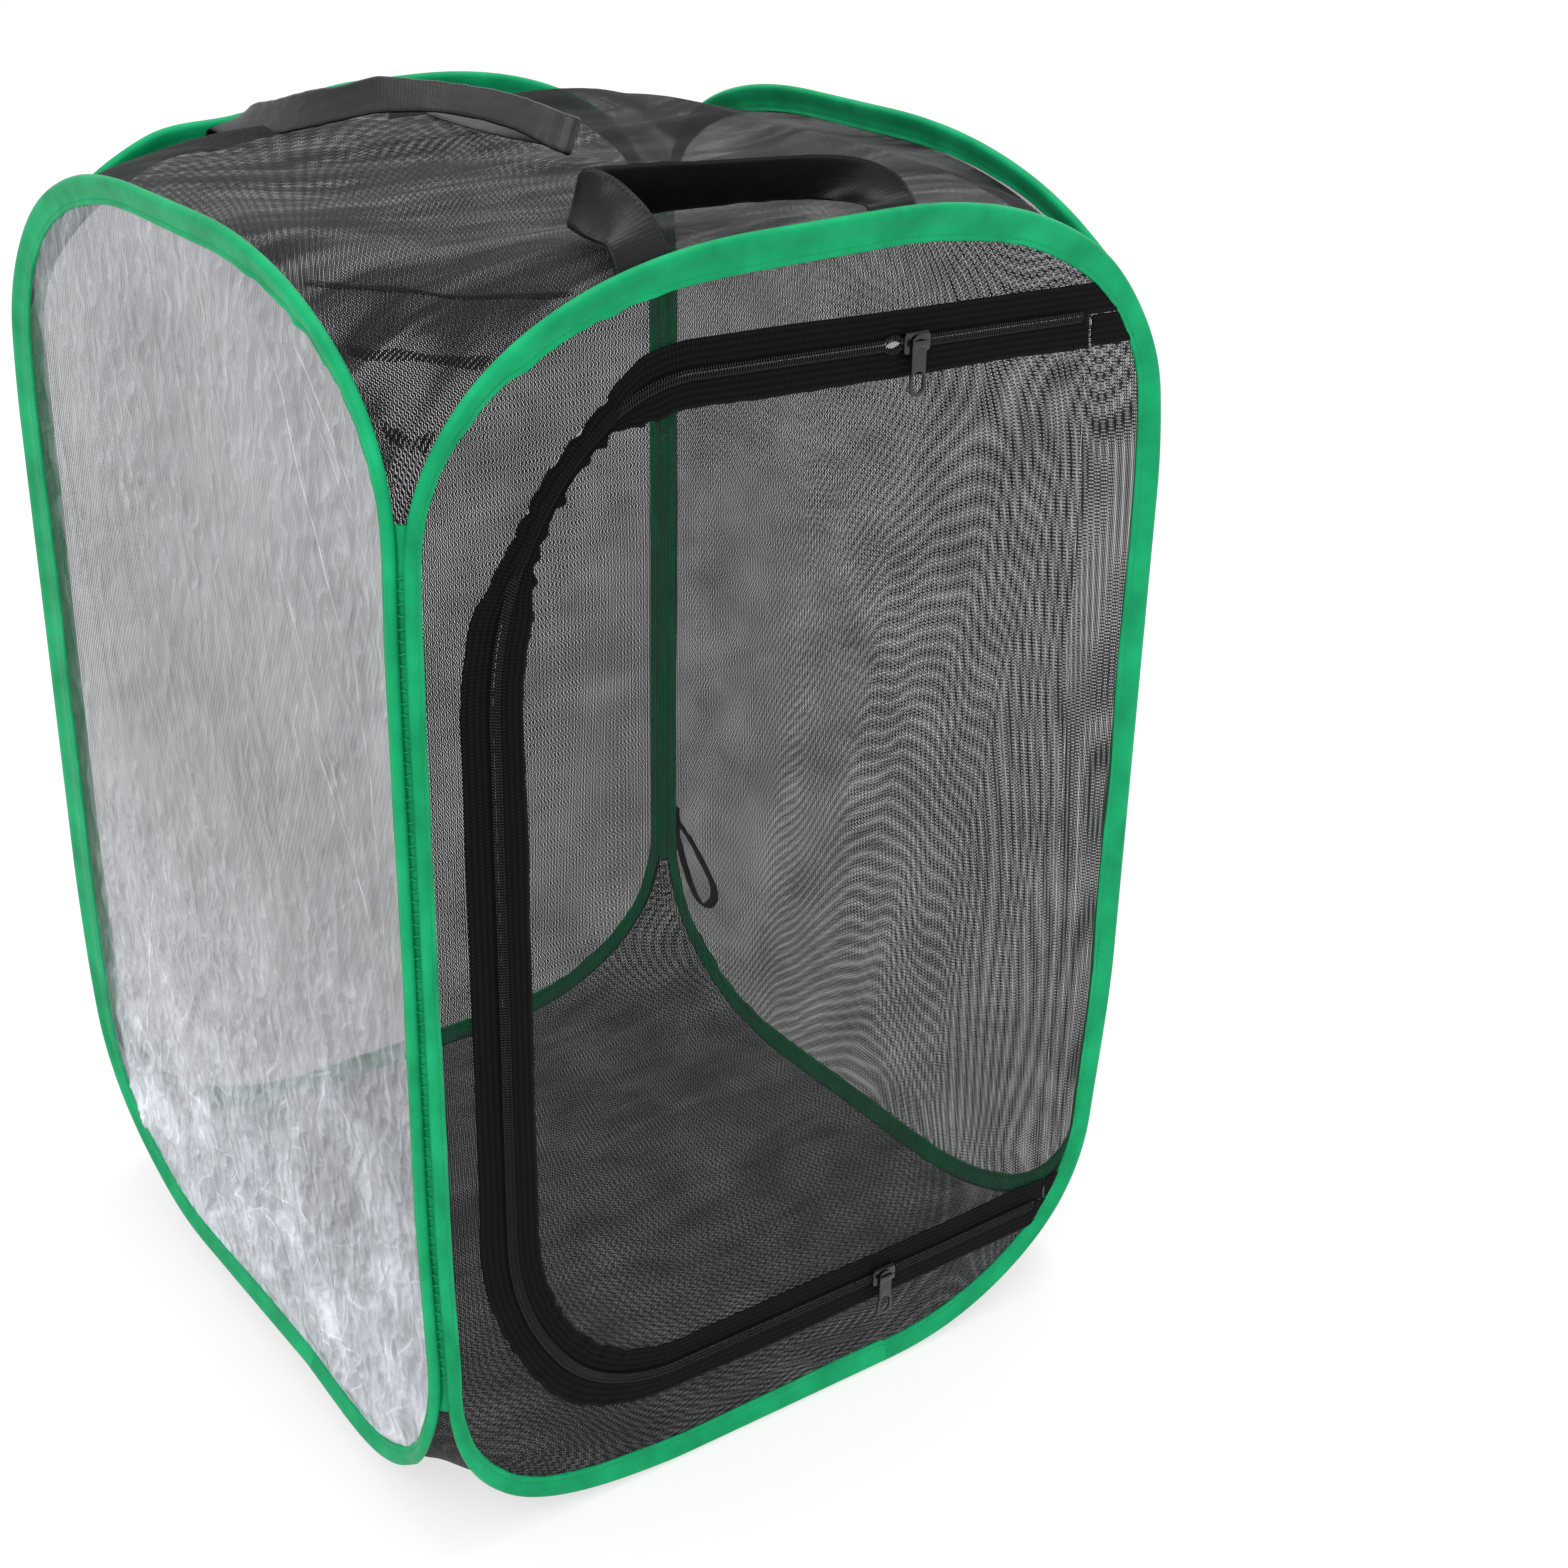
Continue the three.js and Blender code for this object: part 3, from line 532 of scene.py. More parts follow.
def gather(side, length):
    """How strongly the tape is gathered: short waves that are strongest in the middle of each corner."""
    share = hoop_at(lap_of(length))[2]
    corner = 4 * share * (1 - share)
    seed = HOOP_SEEDS[side]
    wide_folds = ripple(length / 0.011, 0 * length + 0.3, seed + 1)
    narrow_folds = 0.5 * ripple(length / 0.005, 0 * length, seed + 2)
    return (wide_folds + narrow_folds) * (0.16 + corner)


def half_thickness(out):
    """Half of the tape's thickness at a distance outwards from the wire: a circle over the wire, an eased
    neck, and flat lips."""
    r = nose_radius * 0.98
    nose = np.sqrt(np.clip(r ** 2 - np.clip(out, -0.25 * r, r) ** 2, 0, None))
    neck = ease(-2.6 * r, -0.25 * r, out)
    return np.where(out > -0.25 * r, nose, lip_half + (nose - lip_half) * neck)


def binding_surface(side, length, reach, face):
    """Places on the tape. Reach goes from 0 at the sewn edge to 1 at the nose, and face is 1 outside, -1
    inside."""
    width = binding_width(side, length)
    tip = nose_radius - width
    out = tip + width * reach
    half = half_thickness(out)
    from_tip = out - tip
    dip = np.exp(-((from_tip - stitch_inset) / (0.55 * MM)) ** 2) * 0.4 * MM
    edge = np.sqrt(np.clip(from_tip / (0.5 * MM), 0, 1))
    pucker = np.maximum(gather(side, length + 0.3 * from_tip), 0) * (1 - ease(0.1, 0.8, reach)) * 0.45 * MM
    half = (half - dip + pucker) * edge
    wave = gather(side, length) * (1 - ease(0, 0.9, reach)) * 0.4 * MM
    sway = ripple(length / 0.07, 0 * length, HOOP_SEEDS[side] + 5) * (1 - reach) * 0.3 * MM
    place, facing, _ = hoop_at(lap_of(length))
    across = place[..., 0] + out * facing[..., 0]
    up = place[..., 1] + out * facing[..., 1]
    return on_wall(side, across, face * half + wave + sway, up)


reach_steps = np.concatenate([
    [0, 0.012, 0.04],
    np.linspace(0.09, 0.3, 6),
    np.linspace(0.36, 0.72, 6),
    1 - 0.24 * np.cos(np.linspace(0.15, 1, 7) * np.pi / 2),
])


def satin_tape():
    """Woven polyester satin tape: threads across the tape give a soft sheen that runs along the folds. They
    are drawn every 1.4 mm, coarser than real ones, so that they show."""
    material, tree, shader = start_material("satin_tape", "#129a5c", 0.45, Sheen_Weight=0.02,
                                            Sheen_Roughness=0.4, Specular_IOR_Level=0.08)
    shader.inputs["Sheen Tint"].default_value = colour("#a8f0cc")
    place = add(tree, "UVMap")
    cloud = add(tree, "TexNoise", {"Vector": place.outputs["UV"], "Scale": 35.0, "Detail": 3.0})
    tones = add(tree, "ValToRGB", {"Fac": cloud.outputs["Fac"]}, tones=("#0a8653", "#16a66b"))
    tones.color_ramp.elements[0].position = 0.3
    tones.color_ramp.elements[1].position = 0.7
    tree.links.new(tones.outputs["Color"], shader.inputs["Base Color"])
    threads = add(tree, "TexWave", {"Vector": place.outputs["UV"], "Scale": wave_scale(1.382 * MM),
                                    "Distortion": 0.6, "Detail": 1.0, "Detail Scale": 2.0},
                  bands_direction="Y")
    fine = add(tree, "Bump", {"Height": threads.outputs["Fac"], "Strength": 0.25, "Distance": 0.12 * MM})
    folds = add(tree, "TexNoise", {"Vector": place.outputs["UV"], "Scale": 130.0, "Detail": 2.0})
    bump = add(tree, "Bump", {"Height": folds.outputs["Fac"], "Strength": 0.4, "Distance": 0.6 * MM,
                              "Normal": fine.outputs["Normal"]})
    tree.links.new(bump.outputs["Normal"], shader.inputs["Normal"])
    return material


def sewing_thread():
    """Spun polyester sewing thread in the tape's green, a little lighter because it stands up and catches
    light."""
    return speckled("sewing_thread", "#12a765", 0.55, 2500.0, ("#0b8a50", "#1fae72"), Sheen_Weight=0.02,
                    Specular_IOR_Level=0.1)[0]


tape_finish = satin_tape()
thread_finish = sewing_thread()
hoop_steps = 860
stitch_pitch = 3.1 * MM


def bar_shape(length, width, height, rings=4, sides=6):
    """A small closed bar along X: an oval section whose size follows the root of 1 - t^4, so its ends are
    round. Returns the points and the quads of one bar."""
    t = np.linspace(-1, 1, rings + 2)
    size = np.sqrt(np.clip(1 - t ** 4, 0.0, 1))
    angle = np.linspace(0, 2 * np.pi, sides, endpoint=False)
    x = np.repeat(t * length / 2, sides)
    y = (size[:, None] * np.cos(angle)).ravel() * width / 2
    z = (size[:, None] * np.sin(angle)).ravel() * height / 2
    rows_at, columns_at = grid_faces(rings + 2, sides, close_columns=True)
    return np.stack([x, y, z], 1), (rows_at * sides + columns_at % sides)


def repeat_shape(name, shape, places, x_axes, z_axes, material, body):
    """Copies of a small shape: each is turned so that its X and Z follow the given directions at its
    place."""
    points, faces = shape
    y_axes = np.cross(z_axes, x_axes)
    turned = (points[None, :, 0, None] * x_axes[:, None] + points[None, :, 1, None] * y_axes[:, None]
              + points[None, :, 2, None] * z_axes[:, None])
    placed = turned + places[:, None]
    steps = np.arange(len(places))[:, None, None] * len(points)
    all_faces = (faces[None] + steps).reshape(-1, faces.shape[1])
    made = add_object(name, placed.reshape(-1, 3), all_faces, material)
    mend(made)
    ride_wall(made, body)
    return made


def make_binding(side):
    """The tape of one hoop and its stitches."""
    length = np.linspace(0, hoop_length, hoop_steps, endpoint=False)[:, None]
    reach = np.concatenate([reach_steps, reach_steps[::-1][1:-1]])[None]
    face = np.concatenate([np.ones(len(reach_steps)), -np.ones(len(reach_steps) - 2)])[None]
    face = np.where(reach >= 1, 0, face)
    points = binding_surface(side, length + 0 * reach, reach + 0 * length, face + 0 * length)
    around = np.concatenate([reach_steps, 2 - reach_steps[::-1][1:]]) * 16 * MM
    piece = grid_object(f"{side}_tape", points, np.append(length[:, 0], hoop_length), around, tape_finish,
                        close_rows=True, close_columns=True)
    mend(piece)
    count = int(hoop_length / stitch_pitch)
    at = np.linspace(0, hoop_length, count, endpoint=False)
    inset = stitch_inset / binding_width(side, at)
    here = binding_surface(side, at, inset, 1.0)
    ahead = binding_surface(side, at + 0.5 * MM, inset, 1.0)
    beside = binding_surface(side, at, inset + 0.03, 1.0)
    along = unit(ahead - here)
    outward = unit(np.cross(along, beside - here))
    away = on_wall(side, 0.0, 1.0, 0.0) - on_wall(side, 0.0, 0.0, 0.0)
    outward = outward * np.sign(outward @ away)[:, None]
    upright = unit(np.cross(along, np.cross(outward, along)))
    stitches = repeat_shape(f"{side}_stitches", bar_shape(2.3 * MM, 0.55 * MM, 0.5 * MM),
                            here + outward * 0.1 * MM, along, upright, thread_finish, side)
    ride_wall(piece, side)
    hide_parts(f"{side}_binding")
    return piece, stitches


hoop_pieces = {side: make_binding(side) for side in WALL_AXES}
print("tape pieces", [len(pieces[0].data.polygons) for pieces in hoop_pieces.values()])

# %% [markdown]
# The mesh is a warp-knitted polyester net. Its wales are zigzags that touch their neighbours, which leaves
# small slanted holes. Thousands of threads would be far too much geometry, so the net is a sheet whose
# alpha follows the zigzag: a thread where the distance to the nearest zigzag line is small, and a hole
# elsewhere.


# %% Net materials
def zigzag_net(name, dark, light, wale, course, cover, folds):
    """Warp-knitted net: wales are zigzag lines a wale apart that swing once a course. The cover is the share
    of each wale that the thread fills, and folds is how far long slanted streaks vary it: painted shade and
    light of the net's folds, which make it denser or thinner. Black spun threads look a little grey because
    their loops catch the light."""
    material, tree, shader = start_material(name, dark, 0.65, Sheen_Weight=0.02, Specular_IOR_Level=0.05)
    place = add(tree, "UVMap")
    parts = add(tree, "SeparateXYZ", {"Vector": place.outputs["UV"]})
    rows = add(tree, "Math", {0: parts.outputs["Y"], 1: 1 / course}, operation="MULTIPLY")
    swing = add(tree, "Math", {0: rows.outputs[0], 1: 0.5}, operation="PINGPONG")
    columns = add(tree, "Math", {0: parts.outputs["X"], 1: 1 / wale}, operation="MULTIPLY")
    shifted = add(tree, "Math", {0: swing.outputs[0], 1: 1.1, 2: columns.outputs[0]},
                  operation="MULTIPLY_ADD")
    centred = add(tree, "Math", {0: shifted.outputs[0], 1: 0.5}, operation="PINGPONG")
    cloud = add(tree, "TexNoise", {"Vector": place.outputs["UV"], "Scale": 26.0, "Detail": 4.0})
    thick = add(tree, "MapRange", {"Value": cloud.outputs["Fac"], "From Min": 0.3, "From Max": 0.7,
                                   "To Min": cover / 2 - 0.03, "To Max": cover / 2 + 0.03})
    # Slanted streaks of painted fold shade: they thicken or thin the threads, so the net looks darker or
    # lighter along its folds.
    slanted = add(tree, "Mapping", {"Vector": place.outputs["UV"], "Rotation": (0, 0, 0.6),
                                    "Scale": (1, 5, 1)})
    fold_shade_streaks = add(tree, "TexNoise", {"Vector": slanted.outputs["Vector"], "Scale": 9.0, "Detail": 5.0,
                                     "Distortion": 1.2})
    painted_fold = add(tree, "MapRange", {"Value": fold_shade_streaks.outputs["Fac"], "From Min": 0.35, "From Max": 0.65,
                                  "To Min": -folds, "To Max": folds})
    denser = add(tree, "Math", {0: thick.outputs["Result"], 1: painted_fold.outputs["Result"]}, operation="ADD")
    past = add(tree, "Math", {0: denser.outputs[0], 1: centred.outputs[0]}, operation="SUBTRACT")
    mask = add(tree, "MapRange", {"Value": past.outputs[0], "From Min": -0.09, "From Max": 0.09})
    tree.links.new(mask.outputs["Result"], shader.inputs["Alpha"])
    tones = add(tree, "ValToRGB", {"Fac": cloud.outputs["Fac"]}, tones=(dark, light))
    tree.links.new(tones.outputs["Color"], shader.inputs["Base Color"])
    return material


wall_net = zigzag_net("knitted_wall_net", "#0d0d0f", "#242427", 0.85 * MM, 1.75 * MM, 0.66, 0.012)
top_net = zigzag_net("knitted_top_net", "#0b0b0d", "#1d1d20", 0.85 * MM, 1.75 * MM, 0.86, 0.08)
floor_net = zigzag_net("knitted_floor_net", "#18181a", "#323236", 0.8 * MM, 1.5 * MM, 0.86, 0.02)

# %% [markdown]
# Clear PVC film looks like glass only where it is flat. Stored folded, it is full of sharp creases, so most
# of what shows is the light that the creases throw. The film is a see-through sheet with a strong gloss, a
# faint grey haze and many small dents. The light of its creases is painted into its colour and alpha: painted
# highlights, painted shade, and a painted reflection that makes the lower part paler.


# %% Film material
# Families of facets whose painted shading shows on the film: turn in radians, how much narrower than long,
# scale, seed and weight.
FACETS = ((0.35, 1.8, 42.0, 0.0, 0.6), (-0.55, 2.0, 70.0, 3.0, 0.6), (0.8, 1.6, 115.0, 7.0, 0.45),
          (1.3, 1.5, 24.0, 15.0, 0.45))
# Families of long creases, drawn as painted highlight lines: turn, how much narrower than long, scale, seed
# and line width.
LONG_CREASES = ((0.45, 3.4, 11.0, 5.0, 0.011), (-0.6, 3.0, 15.0, 9.0, 0.016), (1.25, 2.4, 8.0, 13.0, 0.008))
# Painted highlights of bright folds: place across at 0.5 m up, lower and upper end, lean, and half width.
# Lengths are in metres.
PAINTED_FOLD_HIGHLIGHTS = (
    (0.162, 0.5, 0.575, -0.75, 0.0009), (0.152, 0.49, 0.56, -0.7, 0.0006), (0.15, 0.47, 0.5, -0.95, 0.0026),
    (0.117, 0.44, 0.56, -0.4, 0.0007), (0.139, 0.30, 0.45, -0.1, 0.0008), (0.08, 0.33, 0.47, -0.35, 0.0007),
    (0.055, 0.30, 0.40, -0.5, 0.0009), (-0.02, 0.10, 0.24, 0.3, 0.001),
)


def facet_painted_shading(tree, spots, turn, squeeze, scale, seed):
    """Painted shading of one family of facets: their slope towards the light, the cells' height at the first
    spot less the second's."""
    heights = []
    for spot in spots:
        slanted = add(tree, "Mapping", {"Vector": spot.outputs["Vector"], "Rotation": (0, 0, turn),
                                        "Scale": (squeeze, 1, 1), "Location": (seed, seed, 0)})
        cells = add(tree, "TexVoronoi", {"Vector": slanted.outputs["Vector"], "Scale": scale})
        heights.append(cells.outputs["Distance"])
    return add(tree, "Math", {0: heights[0], 1: heights[1]}, operation="SUBTRACT").outputs[0]


def crease_painted_highlights(tree, swayed, turn, squeeze, scale, seed, width):
    """Painted highlights: thin bright lines between large facets, where a second noise lets them show."""
    slanted = add(tree, "Mapping", {"Vector": swayed.outputs["Vector"], "Rotation": (0, 0, turn),
                                    "Scale": (squeeze, 1, 1), "Location": (seed, seed, 0)})
    edges = add(tree, "TexVoronoi", {"Vector": slanted.outputs["Vector"], "Scale": scale},
                feature="DISTANCE_TO_EDGE")
    line = add(tree, "MapRange", {"Value": edges.outputs["Distance"], "From Min": 0.0, "From Max": width,
                                  "To Min": 1.0, "To Max": 0.0})
    where = add(tree, "TexNoise", {"Vector": slanted.outputs["Vector"], "Scale": scale * 0.6})
    shown = add(tree, "MapRange", {"Value": where.outputs["Fac"], "From Min": 0.44, "From Max": 0.56})
    return add(tree, "Math", {0: line.outputs["Result"], 1: shown.outputs["Result"]},
               operation="MULTIPLY").outputs[0]


def add_painted_fold_highlight(tree, parts, sway, total, start, low_end, high_end, lean, width):
    """The total with the painted highlight of one long bright fold added: a leaning line that sways a little
    and fades at both ends."""
    level = add(tree, "Math", {0: parts.outputs["Y"], 1: 0.5}, operation="SUBTRACT")
    middle = add(tree, "Math", {0: level.outputs[0], 1: lean, 2: start}, operation="MULTIPLY_ADD")
    curved = add(tree, "Math", {0: sway.outputs["Fac"], 1: 0.012, 2: middle.outputs[0]},
                 operation="MULTIPLY_ADD")
    away = add(tree, "Math", {0: parts.outputs["X"], 1: curved.outputs[0]}, operation="SUBTRACT")
    near = add(tree, "Math", {0: away.outputs[0]}, operation="ABSOLUTE")
    line = add(tree, "MapRange", {"Value": near.outputs[0], "From Min": 0.0, "From Max": width,
                                  "To Min": 0.45, "To Max": 0.0})
    rising = add(tree, "MapRange", {"Value": parts.outputs["Y"], "From Min": low_end,
                                    "From Max": low_end + 0.02})
    ending = add(tree, "MapRange", {"Value": parts.outputs["Y"], "From Min": high_end - 0.02,
                                    "From Max": high_end, "To Min": 1.0, "To Max": 0.0})
    window = add(tree, "Math", {0: rising.outputs[0], 1: ending.outputs[0]}, operation="MULTIPLY")
    return add(tree, "Math", {0: line.outputs[0], 1: window.outputs[0], 2: total},
               operation="MULTIPLY_ADD").outputs[0]


def painted_film_light(tree, place, parts, warp, sway):
    """The film's painted light, from 0 to 1 and beyond: a soft cloud, lighter towards the top, painted
    shading of the facets, painted highlights on the creases, a painted reflection that makes it paler low
    down where it is most crumpled, with pale patches and large facets, and painted highlights on the bright
    folds."""
    # Low is 1 at the bottom of the film and fades out by 0.34 m up. There the painted reflection makes the
    # film paler and the painted crease highlights stronger.
    low = add(tree, "MapRange", {"Value": parts.outputs["Y"], "From Min": 0.08, "From Max": 0.34,
                                 "To Min": 1.0, "To Max": 0.0})
    bend = add(tree, "VectorMath", {0: warp.outputs["Color"], 1: (0.018, 0.018, 0.0)}, operation="MULTIPLY")
    bent = add(tree, "VectorMath", {0: place.outputs["UV"], 1: bend.outputs["Vector"]}, operation="ADD")
    drift = add(tree, "VectorMath", {0: sway.outputs["Color"], 1: (0.02, 0.02, 0.0)}, operation="MULTIPLY")
    swayed = add(tree, "VectorMath", {0: place.outputs["UV"], 1: drift.outputs["Vector"]}, operation="ADD")
    beside = add(tree, "VectorMath", {0: bent.outputs["Vector"], 1: (-0.9 * MM, 0.5 * MM, 0.0)},
                 operation="ADD")
    cloud = add(tree, "TexNoise", {"Vector": place.outputs["UV"], "Scale": 11.0, "Detail": 4.0})
    soft = add(tree, "MapRange", {"Value": cloud.outputs["Fac"], "From Min": 0.3, "From Max": 0.7,
                                  "To Min": 0.11, "To Max": 0.22})
    # The film is painted lighter towards the top.
    high = add(tree, "MapRange", {"Value": parts.outputs["Y"], "From Min": 0.36, "From Max": 0.54})
    total = add(tree, "Math", {0: high.outputs["Result"], 1: 0.15, 2: soft.outputs["Result"]},
                operation="MULTIPLY_ADD").outputs[0]
    for turn, squeeze, scale, seed, weight in FACETS:
        slope = facet_painted_shading(tree, (bent, beside), turn, squeeze, scale, seed)
        total = add(tree, "Math", {0: slope, 1: weight, 2: total}, operation="MULTIPLY_ADD").outputs[0]
    # Painted highlights on the creases, stronger low down.
    strength = add(tree, "MapRange", {"Value": low.outputs["Result"], "To Min": 0.07, "To Max": 0.24})
    for family in LONG_CREASES:
        crease_highlight = add(tree, "Math", {0: crease_painted_highlights(tree, swayed, *family), 1: strength.outputs["Result"]},
                    operation="MULTIPLY")
        total = add(tree, "Math", {0: total, 1: crease_highlight.outputs[0]}, operation="ADD").outputs[0]
    # Pale patches low down: a painted reflection.
    patches = add(tree, "TexNoise", {"Vector": swayed.outputs["Vector"], "Scale": 22.0, "Detail": 3.0})
    painted_reflection_patches = add(tree, "MapRange", {"Value": patches.outputs["Fac"], "From Min": 0.46, "From Max": 0.62})
    low_painted_reflection = add(tree, "Math", {0: painted_reflection_patches.outputs["Result"], 1: low.outputs["Result"]}, operation="MULTIPLY")
    low_facet_painted_shade = add(tree, "Math", {0: facet_painted_shading(tree, (bent, beside), 0.5, 2.2, 15.0, 21.0),
                             1: low.outputs["Result"]}, operation="MULTIPLY")
    # Painted reflection low down: pale patches, shaded large facets and an even lift.
    for part, weight in ((low_painted_reflection, 0.22), (low_facet_painted_shade, 0.9), (low, 0.44)):
        total = add(tree, "Math", {0: part.outputs[0], 1: weight, 2: total},
                    operation="MULTIPLY_ADD").outputs[0]
    # Painted highlights of the long bright folds.
    for painted_fold in PAINTED_FOLD_HIGHLIGHTS:
        total = add_painted_fold_highlight(tree, parts, sway, total, *painted_fold)
    return total


def pvc_film():
    """Crumpled PVC film. Its relief, lit from one side, is painted into it as painted highlights and painted
    shade: the height here less the height a millimetre beside it, for several families of long narrow facets.
    The painted pale side of a crease is made hazy and the painted dark side lets the inside through, so the
    painted light goes to colour, alpha and the bump. A strip at the back edge is almost clear."""
    material, tree, shader = start_material("pvc_film", "#a9acab", 0.2, IOR=1.53)
    place = add(tree, "UVMap")
    parts = add(tree, "SeparateXYZ", {"Vector": place.outputs["UV"]})
    warp = add(tree, "TexNoise", {"Vector": place.outputs["UV"], "Scale": 55.0, "Detail": 4.0})
    sway = add(tree, "TexNoise", {"Vector": place.outputs["UV"], "Scale": 16.0, "Detail": 2.0})
    value = add(tree, "Clamp", {"Value": painted_film_light(tree, place, parts, warp, sway)})
    # The base colour goes from dark grey to near white with the painted light: painted highlights and painted
    # shade of the creases.
    tones = add(tree, "ValToRGB", {"Fac": value.outputs["Result"]}, tones=("#3c3f41", "#e9edf7"))
    tree.links.new(tones.outputs["Color"], shader.inputs["Base Color"])
    wavy = add(tree, "Math", {0: warp.outputs["Fac"], 1: 0.02, 2: parts.outputs["X"]},
               operation="MULTIPLY_ADD")
    rear = add(tree, "MapRange", {"Value": wavy.outputs[0], "From Min": -0.16, "From Max": -0.148,
                                  "To Min": 0.28, "To Max": 1.0})
    # The painted bright parts are more opaque and the painted dark parts more see-through.
    dense = add(tree, "MapRange", {"Value": value.outputs["Result"], "To Min": 0.4, "To Max": 0.95})
    alpha = add(tree, "Math", {0: dense.outputs["Result"], 1: rear.outputs["Result"]}, operation="MULTIPLY")
    tree.links.new(alpha.outputs[0], shader.inputs["Alpha"])
    bump = add(tree, "Bump", {"Height": value.outputs["Result"], "Strength": 0.5, "Distance": 1.5 * MM})
    tree.links.new(bump.outputs["Normal"], shader.inputs["Normal"])
    return material


film_finish = pvc_film()

# %% [markdown]
# A wall sheet fills its hoop. The grid over it is a Coons patch: four edge lines, each a quarter of the
# hoop, are blended across the middle. The sheet is pulled tight at its edges and free in the middle, so its
# ripples fade out towards the tape.


# %% Wall sheets
def coons(bottom, top, left, right):
    """Blended patch of four edges: rows go from bottom to top and columns from left to right. A point is
    the sum of the two ruled surfaces, less the bilinear surface of the corners."""
    v = np.linspace(0, 1, len(left))[:, None, None]
    u = np.linspace(0, 1, len(bottom))[None, :, None]
    ruled_up = (1 - v) * bottom[None] + v * top[None]
    ruled_over = (1 - u) * left[:, None] + u * right[:, None]
    corners = ((1 - v) * (1 - u) * bottom[0] + (1 - v) * u * bottom[-1]
               + v * (1 - u) * top[0] + v * u * top[-1])
    return ruled_up + ruled_over - corners


def hoop_line(start, end, inset, count):
    """The hoop's line from one running number to another, moved inwards."""
    lap = np.linspace(start, end, count)
    place, facing, _ = hoop_at(lap)
    return place - facing * inset


def wall_patch(inset, count_across, count_up):
    """Grid over a whole wall: across and up at each point."""
    bottom = hoop_line(-1.5, 0.5, inset, count_across)
    right = hoop_line(0.5, 2.5, inset, count_up)
    top = hoop_line(4.5, 2.5, inset, count_across)
    left = hoop_line(6.5, 4.5, inset, count_up)
    return coons(bottom, top, left, right)


def edge_fade(rows, columns, share):
    """0 under the tape, on the edge of a grid, and 1 from a share of the way in."""
    u = np.minimum(np.linspace(0, 1, columns), np.linspace(1, 0, columns))
    v = np.minimum(np.linspace(0, 1, rows), np.linspace(1, 0, rows))
    return ease(0.035, share, v)[:, None] * ease(0.035, share, u)[None]


def hoop_area(inset):
    """Area inside the hoop's line, moved inwards: half the sum of the cross products of neighbouring
    points."""
    line = hoop_line(0, 8, inset, 801)
    return abs(np.sum(line[:-1, 0] * line[1:, 1] - line[1:, 0] * line[:-1, 1]) / 2)


sheet_inset = 2.9 * MM
sheet_ripples = 2.5 * MM


def make_wall_sheet(side, seed):
    """A wall of plain net with soft ripples."""
    plan = wall_patch(sheet_inset, 120, 180)
    across = plan[..., 0]
    up = plan[..., 1]
    fade = edge_fade(180, 120, 0.12)
    waves = (ripple(across / 0.06 + up / 0.2, up / 0.22, seed) * 0.7
             + ripple(across / 0.02 + up / 0.09, up / 0.12, seed + 1) * 0.3)
    points = on_wall(side, across, sheet_ripples * waves * fade, up)
    piece = flat_grid_object(f"{side}_net", points, plan, wall_net)
    ride_wall(piece, side)
    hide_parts(f"{side}_mesh")
    hoop_area(sheet_inset)


make_wall_sheet("right", 71)
make_wall_sheet("back", 83)

# %% [markdown]
# The film needs its creases as real shape, because they are what catches the light. Each family of creases
# is a ridge function: one minus the size of a stretched noise, raised to a power, which gives thin sharp
# lines that start and stop. Two families lean one way and one leans the other. The lower part is the most
# crumpled.


# %% Film sheet
def creases(across, up, run, spacing, slant, sharpness, seed):
    """Sharp ridges of a stretched noise that is slanted by adding a share of the height to the width."""
    u = (across + slant * up) / spacing
    v = up / run
    drift = ripple(u * 0.3, v * 0.7, seed + 1) * 1.2
    return (1 - np.abs(ripple(u + drift, v + drift, seed))) ** sharpness


film_plan = wall_patch(sheet_inset, 260, 380)
film_across = film_plan[..., 0]
film_up = film_plan[..., 1]
lower = 1 - ease(0.12, 0.42, film_up)
film_shape = (
    1.6 * MM * creases(film_across, film_up, 0.16, 0.022, 0.25, 5, 101) * (0.5 + lower)
    + 1.5 * MM * creases(film_across, film_up, 0.09, 0.03, -0.55, 7, 113) * (0.25 + lower)
    + 0.8 * MM * creases(film_across, film_up, 0.05, 0.011, 0.5, 4, 127) * (0.5 + lower)
    + 3.0 * MM * ripple(film_across / 0.09, film_up / 0.16, 131)
)
film_fade = edge_fade(380, 260, 0.08)
film_points = on_wall("left", film_across, film_shape * film_fade, film_up)
film = flat_grid_object("clear_film", film_points, film_plan, film_finish)
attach(film, "left")
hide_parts("left_window")
hoop_area(sheet_inset)
print("film faces", len(film.data.polygons))

# %% [markdown]
# The zip's middle line runs along the top of the door, round two corners on the left and back along the
# bottom. Everything on the door is measured from it: across it, a distance out of the door is positive, and
# into the door it is negative.

# %% The zip's line
zip_left = -160 * MM
zip_top_left_height = 548 * MM
zip_top_right_height = 538 * MM
zip_bottom_height = 59 * MM
zip_top_across = 95 * MM
zip_top_down = 127 * MM
zip_bottom_across = 90 * MM
zip_bottom_up = 110 * MM
hinge_top = 150 * MM
hinge_bottom = 166 * MM
coil_setback = 5 * MM
tape_width = 14.5 * MM
top_run_left = zip_left + zip_top_across
top_slope = (zip_top_right_height - zip_top_left_height) / (hinge_top - top_run_left)


def hinge_at(up):
    """Where the door's fold line is at a height."""
    share = (up - zip_bottom_height) / (zip_top_right_height - zip_bottom_height)
    return hinge_bottom + (hinge_top - hinge_bottom) * share


